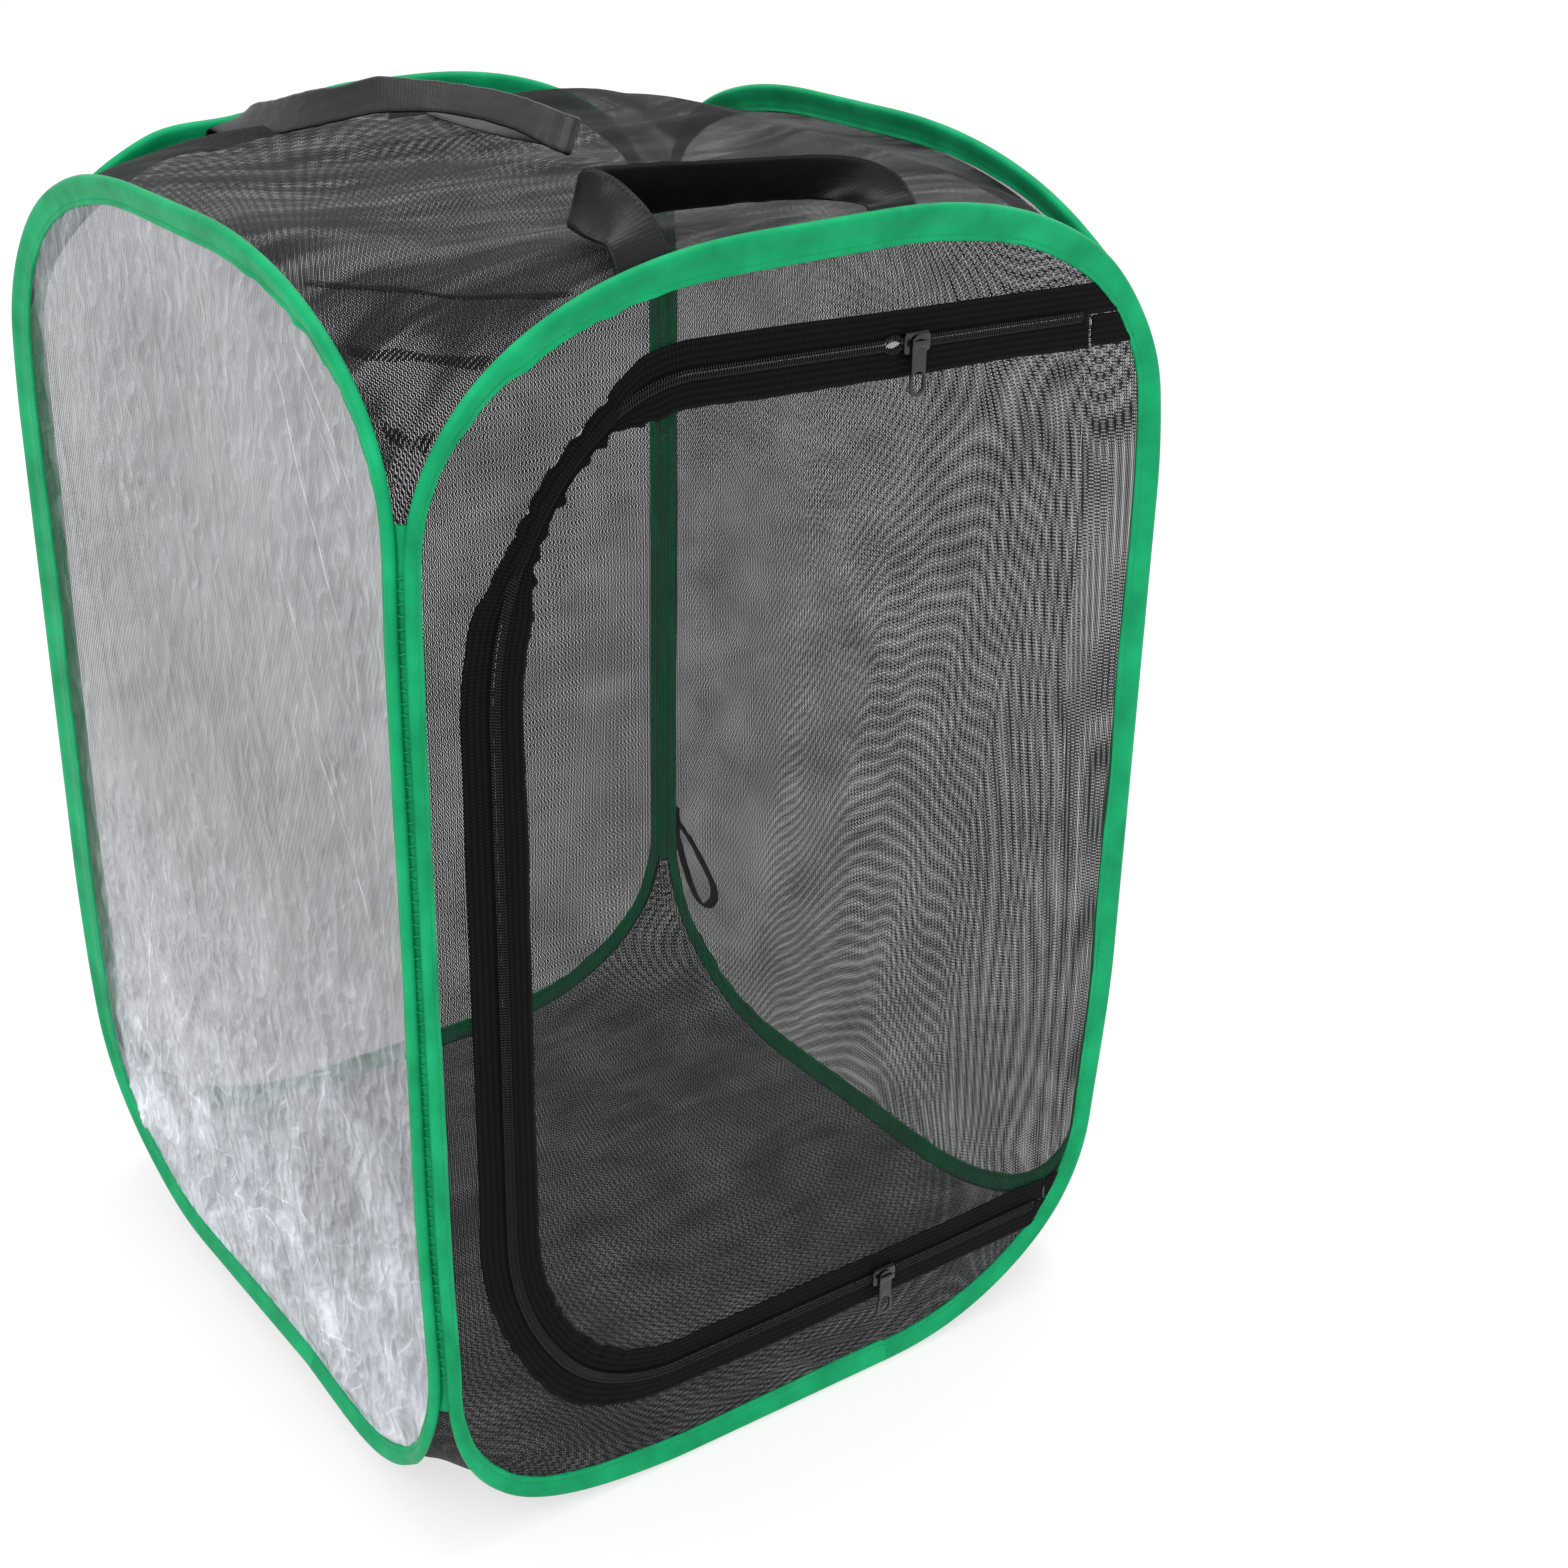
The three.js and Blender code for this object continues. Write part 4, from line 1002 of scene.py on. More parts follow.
def zip_points(top_end, bottom_end):
    """The middle line from its upper right end to its lower right end: a sloped run, a quarter of an
    ellipse, the upright, a quarter of an ellipse and the lower run."""
    angle = np.linspace(np.pi / 2, 0, 160)
    upper = np.stack([zip_left + zip_top_across * (1 - np.cos(angle)),
                      zip_top_left_height - zip_top_down * (1 - np.sin(angle))], 1)
    lower_angle = angle[::-1]
    lower_corner = np.stack([zip_left + zip_bottom_across * (1 - np.cos(lower_angle)),
                             zip_bottom_height + zip_bottom_up * (1 - np.sin(lower_angle))], 1)
    first = [[top_end, zip_top_left_height + top_slope * (top_end - top_run_left)]]
    last = [[bottom_end, zip_bottom_height]]
    return np.concatenate([first, upper, lower_corner, last])


def even_points(line, spacing):
    """The same line with points at even distances, and those distances."""
    steps = distances(line)
    count = int(round(steps[-1] / spacing)) + 1
    at = np.linspace(0, steps[-1], count)
    return sample(at, steps, line), at


zip_line, zip_at = even_points(zip_points(hinge_top, hinge_bottom), 1.5 * MM)
zip_along = unit(np.gradient(zip_line, axis=0))
zip_out = np.stack([zip_along[:, 1], -zip_along[:, 0]], 1)
zip_length = zip_at[-1]


def zip_place(at, offset):
    """Across and up at a distance along the zip and an offset out of the door."""
    return sample(at, zip_at, zip_line) + unit(sample(at, zip_at, zip_out)) * np.asarray(offset)[..., None]


print("zip is", round(zip_length, 3), "m long")

# %% [markdown]
# The front sheet has the doorway cut out of it, so it is a ring: along each ray from the middle it starts
# at the doorway and ends at the hoop. The door flap is a patch of four edges. Both reach the fold line on
# the right, where the real cloth is one uncut piece.

# %% Front sheet and door flap
mesh_setback = 4.3 * MM
hinge_slit = 0.12 * MM
corner_split = 0.3
centre = np.array([0.0, 0.3])


def by_angle(line):
    """A closed line as angles, sorted, and distances from the middle."""
    offset = line - centre
    angle = np.arctan2(offset[:, 1], offset[:, 0])
    order = np.argsort(angle)
    angle = angle[order]
    radius = np.linalg.norm(offset, axis=1)[order]
    return np.concatenate([angle[-1:] - 2 * np.pi, angle, angle[:1] + 2 * np.pi]), \
        np.concatenate([radius[-1:], radius, radius[:1]])


def door_outline(offset, slit):
    """The closed edge of the doorway or the flap: the zip's line moved by an offset, and the fold line."""
    at = np.linspace(0, zip_length, 700)
    line = zip_place(at, offset + 0 * at)
    limit = hinge_at(line[:, 1]) + slit
    line[:, 0] = np.minimum(line[:, 0], limit)
    up = np.linspace(line[-1, 1], line[0, 1], 300)[1:-1]
    hinge = np.stack([hinge_at(up) + slit, up], 1)
    return np.concatenate([line, hinge])


inner_angle, inner_radius = by_angle(door_outline(mesh_setback, hinge_slit))
outer_angle, outer_radius = by_angle(hoop_line(0, 8, sheet_inset, 3000)[:-1])
rays = np.linspace(-np.pi, np.pi, 900, endpoint=False)
ray_inner = np.interp(rays, inner_angle, inner_radius)
ray_outer = np.interp(rays, outer_angle, outer_radius)
step_out = np.linspace(0, 1, 16)
ray_radius = ray_inner[:, None] + (ray_outer - ray_inner)[:, None] * step_out
front_plan = centre + ray_radius[..., None] * np.stack([np.cos(rays), np.sin(rays)], 1)[:, None]
front_fade = np.sin(np.pi * np.clip((step_out - 0.25) / 0.75, 0, 1))[None]
front_waves = ripple(front_plan[..., 0] / 0.03, front_plan[..., 1] / 0.05, 141)
front_points = on_wall("front", front_plan[..., 0], 1.1 * MM * front_waves * front_fade, front_plan[..., 1])
front_plan_closed = np.concatenate([front_plan, front_plan[:1]])
front_points = np.concatenate([front_points, front_points[:1]])
front_sheet = flat_grid_object("front_net", front_points, front_plan_closed, wall_net)
mend(front_sheet)
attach(front_sheet, "front")
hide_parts("front_mesh")


def door_patch(offset, slit, count_across, count_up):
    """Patch of the door: its top and bottom edges run from the middle of a left corner to the fold line."""
    on_right = zip_line[:, 0] > 0
    first_up = zip_top_left_height - corner_split * zip_top_down
    second_up = zip_bottom_height + corner_split * zip_bottom_up
    first = zip_at[np.argmin(np.abs(zip_line[:, 1] - first_up) + on_right)]
    second = zip_at[np.argmin(np.abs(zip_line[:, 1] - second_up) + on_right)]

    def edge(start, end, count):
        at = np.linspace(start, end, count)
        return zip_place(at, offset + 0 * at)

    top = edge(first, 0, count_across)
    left = edge(second, first, count_up)
    bottom = edge(second, zip_length, count_across)
    for line in (top, bottom):
        line[:, 0] = np.minimum(line[:, 0], hinge_at(line[:, 1]) - slit)
    up = np.linspace(bottom[-1, 1], top[-1, 1], count_up)
    right = np.stack([hinge_at(up) - slit, up], 1)
    right[0] = bottom[-1]
    right[-1] = top[-1]
    return coons(bottom, top, left, right)


door_plan = door_patch(-mesh_setback, hinge_slit, 110, 170)
door_fade = edge_fade(170, 110, 0.16)
door_waves = (ripple(door_plan[..., 0] / 0.05, door_plan[..., 1] / 0.25, 151)
              + 0.5 * ripple(door_plan[..., 0] / 0.018, door_plan[..., 1] / 0.12, 157))
door_points = on_wall("front", door_plan[..., 0], 1.6 * MM * door_waves * door_fade, door_plan[..., 1])
door_sheet = flat_grid_object("door_net", door_points, door_plan, wall_net)
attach(door_sheet, "door")
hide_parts("door_mesh")

# %% [markdown]
# The top and the floor are one shape in two sizes. In the middle they are flat. Near an upright edge of the
# cage the height follows the hoops' round corners, and it is the same along any level line from one hoop to
# the next. So the height depends only on the sum of the distances to the two walls. When the cage folds, the
# sheet creases on the line from the front right edge to the back left edge, so each sheet is made as two
# halves, and each half hangs on a wall.


# %% Top and floor sheets
# Sag and wrinkle height in metres, and the seed, of the floor (False) and the top (True).
SHEET_FORMS = {False: (1 * MM, 0.9 * MM, 171), True: (7 * MM, 3 * MM, 161)}
top_hang = 11 * MM
edge_crowding = 1.6


def roll_height(to_side, to_front, across, along):
    """Share of the corner's height at the sum of the distances to two walls: (1 - (1 - t)^f)^(1/f)."""
    t = np.clip((to_side + to_front) / across, 0, 1)
    return along * (1 - (1 - (1 - t) ** corner_fullness) ** (1 / corner_fullness))


def gather_to_edges(count):
    """Numbers from -1 to 1 that lie closer together near both ends, where the sheet turns steeply."""
    t = np.linspace(-1, 1, count)
    return np.sign(t) * (1 - (1 - np.abs(t)) ** edge_crowding)


def sheet_half_points(front_half, count):
    """Grid of a half: the first parameter runs along the folding line from the back left edge to the front
    right edge, and the second from that line out to the two walls."""
    s = gather_to_edges(count)
    t = 1 - (1 - np.linspace(0, 1, count)) ** edge_crowding
    reach = wire_reach + 3.6 * MM
    line = np.stack([s * reach, -s * reach], -1)
    if front_half:
        edge = np.where((s < 0)[:, None], np.stack([0 * s - reach, -reach * (1 + 2 * s)], -1),
                        np.stack([reach * (2 * s - 1), 0 * s - reach], -1))
    else:
        edge = np.where((s < 0)[:, None], np.stack([reach * (1 + 2 * s), 0 * s + reach], -1),
                        np.stack([0 * s + reach, reach * (1 - 2 * s)], -1))
    return line[:, None] * (1 - t)[None, :, None] + edge[:, None] * t[None, :, None]


def sheet_height(place, atop):
    """Height of the top or the floor: flat less its sag and wrinkles, and rolled towards the upright
    edges."""
    sag, wrinkles, seed = SHEET_FORMS[atop]
    x = place[..., 0]
    y = place[..., 1]
    across = top_corner_across if atop else bottom_corner_across
    along = top_corner_down if atop else bottom_corner_up
    to_side = wire_reach - np.abs(x)
    to_front = wire_reach - np.abs(y)
    fall = roll_height(np.maximum(to_side, 0), np.maximum(to_front, 0), across, along)
    free = ease(0, 0.09, np.minimum(to_side, to_front))
    flat = 1 - ease(0, 0.4, fall / along)
    wide_waves = ripple(x / 0.16 + y / 0.3, y / 0.045, seed)
    narrow_waves = 0.5 * ripple(x / 0.07 + y / 0.1, y / 0.02, seed + 1)
    dip = free * flat * (sag + wrinkles * (wide_waves + narrow_waves))
    if atop:
        # At the back and the right the net hangs from the inner edge of the tape, so the tape's face shows.
        hung = np.maximum(ease(-0.07, 0, x - wire_reach), ease(-0.07, 0, y - wire_reach))
        dip = np.maximum(dip, top_hang * hung * (1 - ease(0.5, 1, fall / along)))
    return (wire_top - fall - dip) if atop else (wire_bottom + fall + 0.3 * dip)


def make_sheet_half(name, atop, front_half, material):
    """One half as an object that rides on a wall."""
    place = sheet_half_points(front_half, 150)
    up = sheet_height(place, atop)
    points = settle(np.stack([place[..., 0], place[..., 1], up], -1))
    piece = flat_grid_object(name, points, place, material, flip=(front_half != atop))
    mend(piece)
    side = "front" if front_half else "right"
    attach(piece, side)
    if front_half:
        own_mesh(piece)
    else:
        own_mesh(piece)
    return piece


top_front = make_sheet_half("top_net_front", True, True, top_net)
top_back = make_sheet_half("top_net_back", True, False, top_net)
floor_front = make_sheet_half("floor_net_front", False, True, floor_net)
floor_back = make_sheet_half("floor_net_back", False, False, floor_net)
for halves, node, slot in (((top_front, top_back), "top_mesh", "mesh_fabric"),
                           ((floor_front, floor_back), "floor_mesh", "floor_fabric")):
    for half in halves:
        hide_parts(node)
    print(node, "halves have", [len(half.data.polygons) for half in halves], "faces")

# %% [markdown]
# Where the top rolls down towards the front left edge, the cloth was folded over and pressed in storage.
# Three narrow tucks are left, level lines from one hoop to the other, and they look darker because the net
# is doubled.

# %% Tucks in the top
tuck_wander = 2 * MM
tuck_rise = 0.7 * MM


def add_tuck(name, reach, width, seed):
    """A narrow doubled strip across the front left corner, where the distances to the two walls add up to
    the reach. Its rows run from the left hoop to the front hoop, and its section is the crest of a
    cosine."""
    share = np.linspace(0.02, 0.98, 60)[:, None]
    wander = ripple(share * 5, 0 * share, seed) * tuck_wander
    own_width = width * (1 + 0.3 * ripple(share * 9, 0 * share, 3))
    total = reach + wander + np.linspace(-0.5, 0.5, 6)[None] * own_width
    plan = np.stack([-wire_reach + total * share, -wire_reach + total * (1 - share)], -1)
    up = sheet_height(plan, True) + tuck_rise * np.cos(np.linspace(-1.2, 1.2, 6))[None]
    points = settle(np.concatenate([plan, up[..., None]], -1))
    piece = flat_grid_object(name, points, plan, top_net, flip=True)
    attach(piece, "front")
    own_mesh(piece)
    print(name, "lies", round(reach, 3), "m from the corner")


add_tuck("top_tuck_1", 78 * MM, 4.5 * MM, 546)
add_tuck("top_tuck_2", 40 * MM, 5 * MM, 280)
add_tuck("top_tuck_3", 14 * MM, 4 * MM, 98)

# %% [markdown]
# Inside each binding lies the spring that holds the wall open: a steel wire bent into a ring, with a
# crimped sleeve over its two ends. Both follow the settled outline, so the tape always covers them.


# %% Hoop wires and sleeves
def bare_metal(name, base, roughness, grain):
    """Drawn metal: a fine noise varies the roughness and raises tiny marks."""
    material, tree, shader = start_material(name, base, roughness, Metallic=1.0)
    place = add(tree, "TexCoord")
    lines = add(tree, "TexNoise", {"Vector": place.outputs["Object"], "Scale": grain, "Detail": 3.0})
    worn = add(tree, "MapRange", {"Value": lines.outputs["Fac"], "To Min": roughness - 0.1,
                                  "To Max": roughness + 0.12})
    tree.links.new(worn.outputs["Result"], shader.inputs["Roughness"])
    bump = add(tree, "Bump", {"Height": lines.outputs["Fac"], "Strength": 0.15, "Distance": 0.05 * MM})
    tree.links.new(bump.outputs["Normal"], shader.inputs["Normal"])
    return material


spring_steel = bare_metal("spring_steel", "#8d9094", 0.32, 900.0)
crimped_steel = bare_metal("crimped_steel", "#b4b6b8", 0.38, 600.0)
wire_radius = 0.95 * MM
sleeve_outside = 1.65 * MM
sleeve_half_length = 10 * MM


def wire_tube(name, side, length, radius, material, closed):
    """A tube along the hoop's line, with its own radius at each point."""
    place, facing, _ = hoop_at(lap_of(length))
    angle = np.linspace(0, 2 * np.pi, 10, endpoint=False)
    out = radius[:, None] * np.cos(angle)
    points = on_wall(side, place[:, None, 0] + out * facing[:, None, 0], radius[:, None] * np.sin(angle),
                     place[:, None, 1] + out * facing[:, None, 1])
    along = np.append(length, hoop_length) if closed else length
    around = np.linspace(0, 2 * np.pi * wire_radius, 11)
    piece = grid_object(name, points, along, around, material, close_rows=closed, close_columns=True)
    mend(piece)
    ride_wall(piece, side)
    return piece


for side in WALL_AXES:
    every = np.linspace(0, hoop_length, 420, endpoint=False)
    wire = wire_tube(f"{side}_spring", side, every, np.full(420, wire_radius), spring_steel, True)
    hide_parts(f"{side}_hoop_wire")
    sleeve_low, sleeve_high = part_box(f"{side}_wire_ferrule")
    middle = np.array((sleeve_low + sleeve_high) / 2)[:2] @ np.array(WALL_AXES[side][0])
    sleeve_at = length_of(7.5) + middle
    share = np.linspace(-1, 1, 41)
    pinch = 0.2 * MM * np.exp(-((np.abs(share) - 0.5) / 0.12) ** 2)
    sleeve_radius = (sleeve_outside - pinch) * np.where(np.abs(share) > 0.99, 0.62, 1)
    sleeve_steps = sleeve_at + share * sleeve_half_length
    sleeve = wire_tube(f"{side}_sleeve", side, sleeve_steps, sleeve_radius, crimped_steel, False)
    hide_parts(f"{side}_wire_ferrule")
print("wires and sleeves made")

# %% [markdown]
# Along the upright edges the bindings of two walls are whipped together by hand with doubled thread. Each
# stitch is a short raised bar across the joint, and every other one slants.


# %% Whipped upright seams
def make_seam(name, sign_x, sign_y, body):
    """Stitches up one edge: outside and inside the joint, on the diagonal of the corner."""
    low = wire_bottom + bottom_corner_up + 2 * MM
    high = wire_top - top_corner_down - 2 * MM
    up = np.arange(low, high, 5.2 * MM)
    slant = np.where(np.arange(len(up)) % 2 == 0, 0.35, -0.2)
    corner = np.array([sign_x * wire_reach, sign_y * wire_reach, 0.0])
    diagonal = unit(np.array([sign_x, sign_y, 0.0]))
    level = np.array([-diagonal[1], diagonal[0], 0.0])
    parts = []
    for reach in (0.1 * MM, 3.6 * MM):
        base = corner + np.outer(0 * up + 1, diagonal * reach) + np.outer(up, [0, 0, 1.0])
        parts.append((base, unit(level + np.outer(slant, [0, 0, 1.0]))))
    places = settle(np.concatenate([part[0] for part in parts]))
    x_axes = np.concatenate([part[1] for part in parts])
    z_axes = np.tile(diagonal, (len(places), 1))
    seam = repeat_shape(name, bar_shape(5.4 * MM, 0.7 * MM, 0.7 * MM, rings=5), places, x_axes, z_axes,
                        thread_finish, body)
    return seam


joint_reach = 17 * MM
joint_half_width = 2.6 * MM


def make_joint(name, sign_x, sign_y, body):
    """The strip of tape that was sewn between two bindings, so that no light comes through the joint."""
    low = wire_bottom + bottom_corner_up - joint_reach
    high = wire_top - top_corner_down + joint_reach
    up = np.linspace(low, high, 140)[:, None]
    diagonal = unit(np.array([sign_x, sign_y]))
    level = np.array([-diagonal[1], diagonal[0]])
    angle = np.linspace(0, 2 * np.pi, 12, endpoint=False)[None]
    wide = joint_half_width * np.cos(angle) * (1 + 0.08 * ripple(up / (9 * MM), 0 * up, 401))
    deep = 1.9 * MM + 0.7 * MM * np.sin(angle) + 0.3 * MM * ripple(up / (12 * MM), 0 * up, 403)
    corner = np.array([sign_x, sign_y]) * wire_reach
    plan = corner + deep[..., None] * diagonal + wide[..., None] * level
    points = settle(np.concatenate([plan, (up + 0 * wide)[..., None]], -1))
    joint = grid_object(name, points, up[:, 0], np.linspace(0, 14 * MM, 13), tape_finish, close_columns=True)
    mend(joint)
    ride_wall(joint, body)


SEAMS = {"front_left": (-1, -1, "front"), "front_right": (1, -1, "front"), "back_right": (1, 1, "right"),
         "back_left": (-1, 1, "left")}
for corner, (sign_x, sign_y, body) in SEAMS.items():
    seam = make_seam(f"{corner}_whipping", sign_x, sign_y, body)
    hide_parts(f"{corner}_seam")
    make_joint(f"{corner}_joint", sign_x, sign_y, body)
print("seams made")

# %% [markdown]
# The zip is a size 5 coil zip. Each half is a woven tape with a spiral of nylon sewn on its edge. At the
# left of the upper slider the two halves gape a little, because the slider doesn't sit tight. In the
# corners the door's tape has cloth to spare on its inner edge, which puckers.


# %% Zip tapes
tape_back = 0.65 * MM
tape_front = 1.25 * MM
coil_middle = 2.35 * MM
tape_gap = 0.15 * MM
fold_clearance = 1.9 * MM
rolled_over = 2.7 * MM
rolled_rise = 2.45 * MM
corner_narrowing = 0.55
end_sink = 0.8 * MM
gape_at = 112.6 * MM
gape_half = 1.7 * MM
gape_reach = 4.5 * MM


def woven_tape():
    """Black polyester zip tape: lengthwise ribs 3 mm apart and a cross weave that is drawn every 1.6 mm,
    coarser than a real one, so that it shows."""
    material, tree, shader = start_material("woven_zip_tape", "#0b0b0d", 0.75, Sheen_Weight=0.02,
                                            Specular_IOR_Level=0.06)
    place = add(tree, "UVMap")
    ribs = add(tree, "TexWave", {"Vector": place.outputs["UV"], "Scale": wave_scale(2.961 * MM)},
               bands_direction="X")
    weave = add(tree, "TexWave", {"Vector": place.outputs["UV"], "Scale": wave_scale(1.579 * MM),
                                  "Distortion": 1.0, "Detail Scale": 3.0}, bands_direction="Y")
    both = add(tree, "Math", {0: ribs.outputs["Fac"], 1: weave.outputs["Fac"]}, operation="MULTIPLY")
    tones = add(tree, "ValToRGB", {"Fac": both.outputs[0]}, tones=("#050506", "#151518"))
    tree.links.new(tones.outputs["Color"], shader.inputs["Base Color"])
    bump = add(tree, "Bump", {"Height": both.outputs[0], "Strength": 0.6, "Distance": 0.25 * MM})
    tree.links.new(bump.outputs["Normal"], shader.inputs["Normal"])
    return material


zip_tape_finish = woven_tape()
hoop_right = hoop_at(np.linspace(0, 8, 4001))[0]
hoop_right = hoop_right[hoop_right[:, 0] > 0]
hoop_right = hoop_right[np.argsort(hoop_right[:, 1])]
tape_ends = 181 * MM
tape_line, tape_at = even_points(zip_points(tape_ends, tape_ends), 1.5 * MM)
tape_along = unit(np.gradient(tape_line, axis=0))
tape_out = np.stack([tape_along[:, 1], -tape_along[:, 0]], 1)
extra = np.interp(-hinge_top, -tape_line[:60, 0], tape_at[:60])


def gape(at):
    """Half of the opening between the coils: 1.7 mm times 1 - t^2, over 4.5 mm to each side."""
    return gape_half * np.clip(1 - ((at - gape_at) / gape_reach) ** 2, 0, 1)


def corner_share(at):
    """1 in the middle of a zip corner and 0 on the straight runs."""
    heading = np.interp(at, zip_at, zip_along[:, 0] * zip_along[:, 1])
    return ease(0.05, 0.45, np.abs(heading))


def turned(at):
    """1 in the upper left corner, where both tapes stand on edge and hide the coils, and 0 beyond it."""
    return ease(0.232, 0.262, at) * (1 - ease(0.315, 0.352, at))


def tape_strip(at, side_sign, seed):
    """Half of the zip's tape between two places of the long line: a closed strip with round edges. In the
    upper left corner it is narrower, the front's half rolls over the coils, and the door's edge is
    scalloped."""
    share = np.concatenate([np.linspace(0, 1, 15), np.linspace(1, 0, 8)[1:-1]])
    upper = np.concatenate([np.ones(15), np.zeros(6)])
    at = at[:, None]
    own = at - extra
    roll = turned(own)
    start = tape_gap - (rolled_over * roll if side_sign > 0 else 0)
    reach = start + (tape_width * (1 - corner_narrowing * roll) - start) * share
    middle = sample(at, tape_at, tape_line)
    outward = unit(sample(at, tape_at, tape_out))
    pucker = ripple(at / (5 * MM), 0 * at, seed) * (corner_share(own) + 0.3 * (side_sign < 0) + 1.2 * roll)
    wave = ripple(at / (40 * MM), 0 * at, seed + 1)
    offset = reach + (1 - share) * gape(own) + (0.8 * pucker + 0.5 * wave) * MM * share ** 2
    plan = middle + outward * (side_sign * offset)[..., None]
    height = np.where(upper > 0, tape_front, tape_back)
    round_edge = 0.22 * MM * (np.abs(2 * share - 1) > 0.97)
    height = height - np.where(upper > 0, round_edge, -round_edge)
    lift = (0.9 * np.abs(pucker) + 0.25 * np.abs(wave)) * MM * share ** 1.5
    over = rolled_rise * roll * (1 - ease(2.6 * MM, 4.6 * MM, offset)) if side_sign > 0 else 0
    edge_at = np.interp(plan[..., 1], hoop_right[:, 1], hoop_right[:, 0])
    sink = end_sink * ease(edge_at - 12 * MM, edge_at - 8.5 * MM, plan[..., 0])
    points = on_wall("front", plan[..., 0], height + lift + over - sink, plan[..., 1])
    widths = np.append(tape_width * share + np.where(upper > 0, 0, 20 * MM), 0)
    return points, widths, plan


def add_strip(name, at, side_sign, seed, limit):
    """The strip as an object. The limit cuts its ends off at the door's fold line or under the binding."""
    points, widths, plan = tape_strip(at, side_sign, seed)
    points[..., 0] = limit(points[..., 0], plan[..., 1])
    piece = grid_object(name, points, at, widths, zip_tape_finish, close_columns=True)
    for rows in (points[0], points[-1]):
        cap = add_object(name + "_cap", rows, np.arange(len(rows))[None], zip_tape_finish)
        join(piece, cap)
    mend(piece)
    return piece


def join(piece, other):
    """Adds another object's mesh to a piece and removes the other."""
    shape = bmesh.new()
    shape.from_mesh(piece.data)
    shape.from_mesh(other.data)
    shape.to_mesh(piece.data)
    shape.free()
    bpy.data.objects.remove(other)


def under_tape(x, up):
    """Keeps the ends of the zip's tapes inside the hoop: 3 mm short of the wire at their height."""
    return np.minimum(x, np.interp(up, hoop_right[:, 1], hoop_right[:, 0]) - 3.0 * MM)


def before_fold(x, up):
    """Keeps the door's tape on the door."""
    return np.minimum(x, hinge_at(up) - tape_gap)


def after_fold(x, up):
    """Keeps the front's tape ends beyond the fold line and under the binding."""
    return under_tape(np.maximum(x, hinge_at(up) + fold_clearance), up)


steps = np.linspace(0, tape_at[-1], 560)
frame_tape = add_strip("frame_tape", steps, 1, 201, under_tape)
end_top = np.linspace(0, extra + 3 * MM, 18)
end_bottom = np.linspace(tape_at[-1] - (tape_ends - hinge_bottom) - 3 * MM, tape_at[-1], 14)
join(frame_tape, add_strip("end_top", end_top, -1, 203, after_fold))
join(frame_tape, add_strip("end_bottom", end_bottom, -1, 205, after_fold))
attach(frame_tape, "front")
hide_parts("frame_zip_tape")
own_steps = np.linspace(extra - 2 * MM, extra + zip_length + 2 * MM, 560)
door_tape = add_strip("door_tape", own_steps, -1, 207, before_fold)
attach(door_tape, "door")
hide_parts("door_zip_tape")
print("zip tapes", len(frame_tape.data.polygons), len(door_tape.data.polygons))

# %% [markdown]
# Each coil is one real spiral, a turn every 1.3 mm. The inner ends of the two spirals reach past the middle
# line, and they are half a turn apart, so they interlock as the real ones do. A thread runs along each coil
# and holds it to its tape.


# %% Zip coils
coil_pitch = 1.3 * MM
coil_wire = 0.27 * MM
coil_offset = 1.1 * MM
coil_half_width = 1.3 * MM
coil_half_height = 0.53 * MM


def nylon():
    """Black nylon monofilament: smooth and glossy, so each turn has a bright end."""
    return speckled("nylon_coil", "#0c0c0d", 0.34, 700.0, ("#050506", "#101012"), Specular_IOR_Level=0.45)[0]


def spun_thread():
    """Black spun polyester thread: matt and slightly fuzzy."""
    return speckled("black_thread", "#0a0a0b", 0.8, 2200.0, ("#0a0a0b", "#222225"), Sheen_Weight=0.02,
                    Specular_IOR_Level=0.08)[0]


nylon_finish = nylon()
black_thread = spun_thread()


def tube_along(name, path, guide, radius, sides, material):
    """A thin tube along a path, its rings turned to a guide direction that is roughly square to the
    path."""
    along = unit(np.gradient(path, axis=0))
    first = unit(guide - along * np.sum(guide * along, -1, keepdims=True))
    second = np.cross(along, first)
    angle = np.linspace(0, 2 * np.pi, sides, endpoint=False)[:, None]
    rings = path[:, None] + radius * (np.cos(angle) * first[:, None] + np.sin(angle) * second[:, None])
    rings = close_ends(path, rings)
    length = np.arange(len(rings)) * 0.1 * MM
    around = np.linspace(0, radius * 6, sides + 1)
    piece = grid_object(name, rings, length, around, material, close_columns=True)
    mend(piece)
    return piece


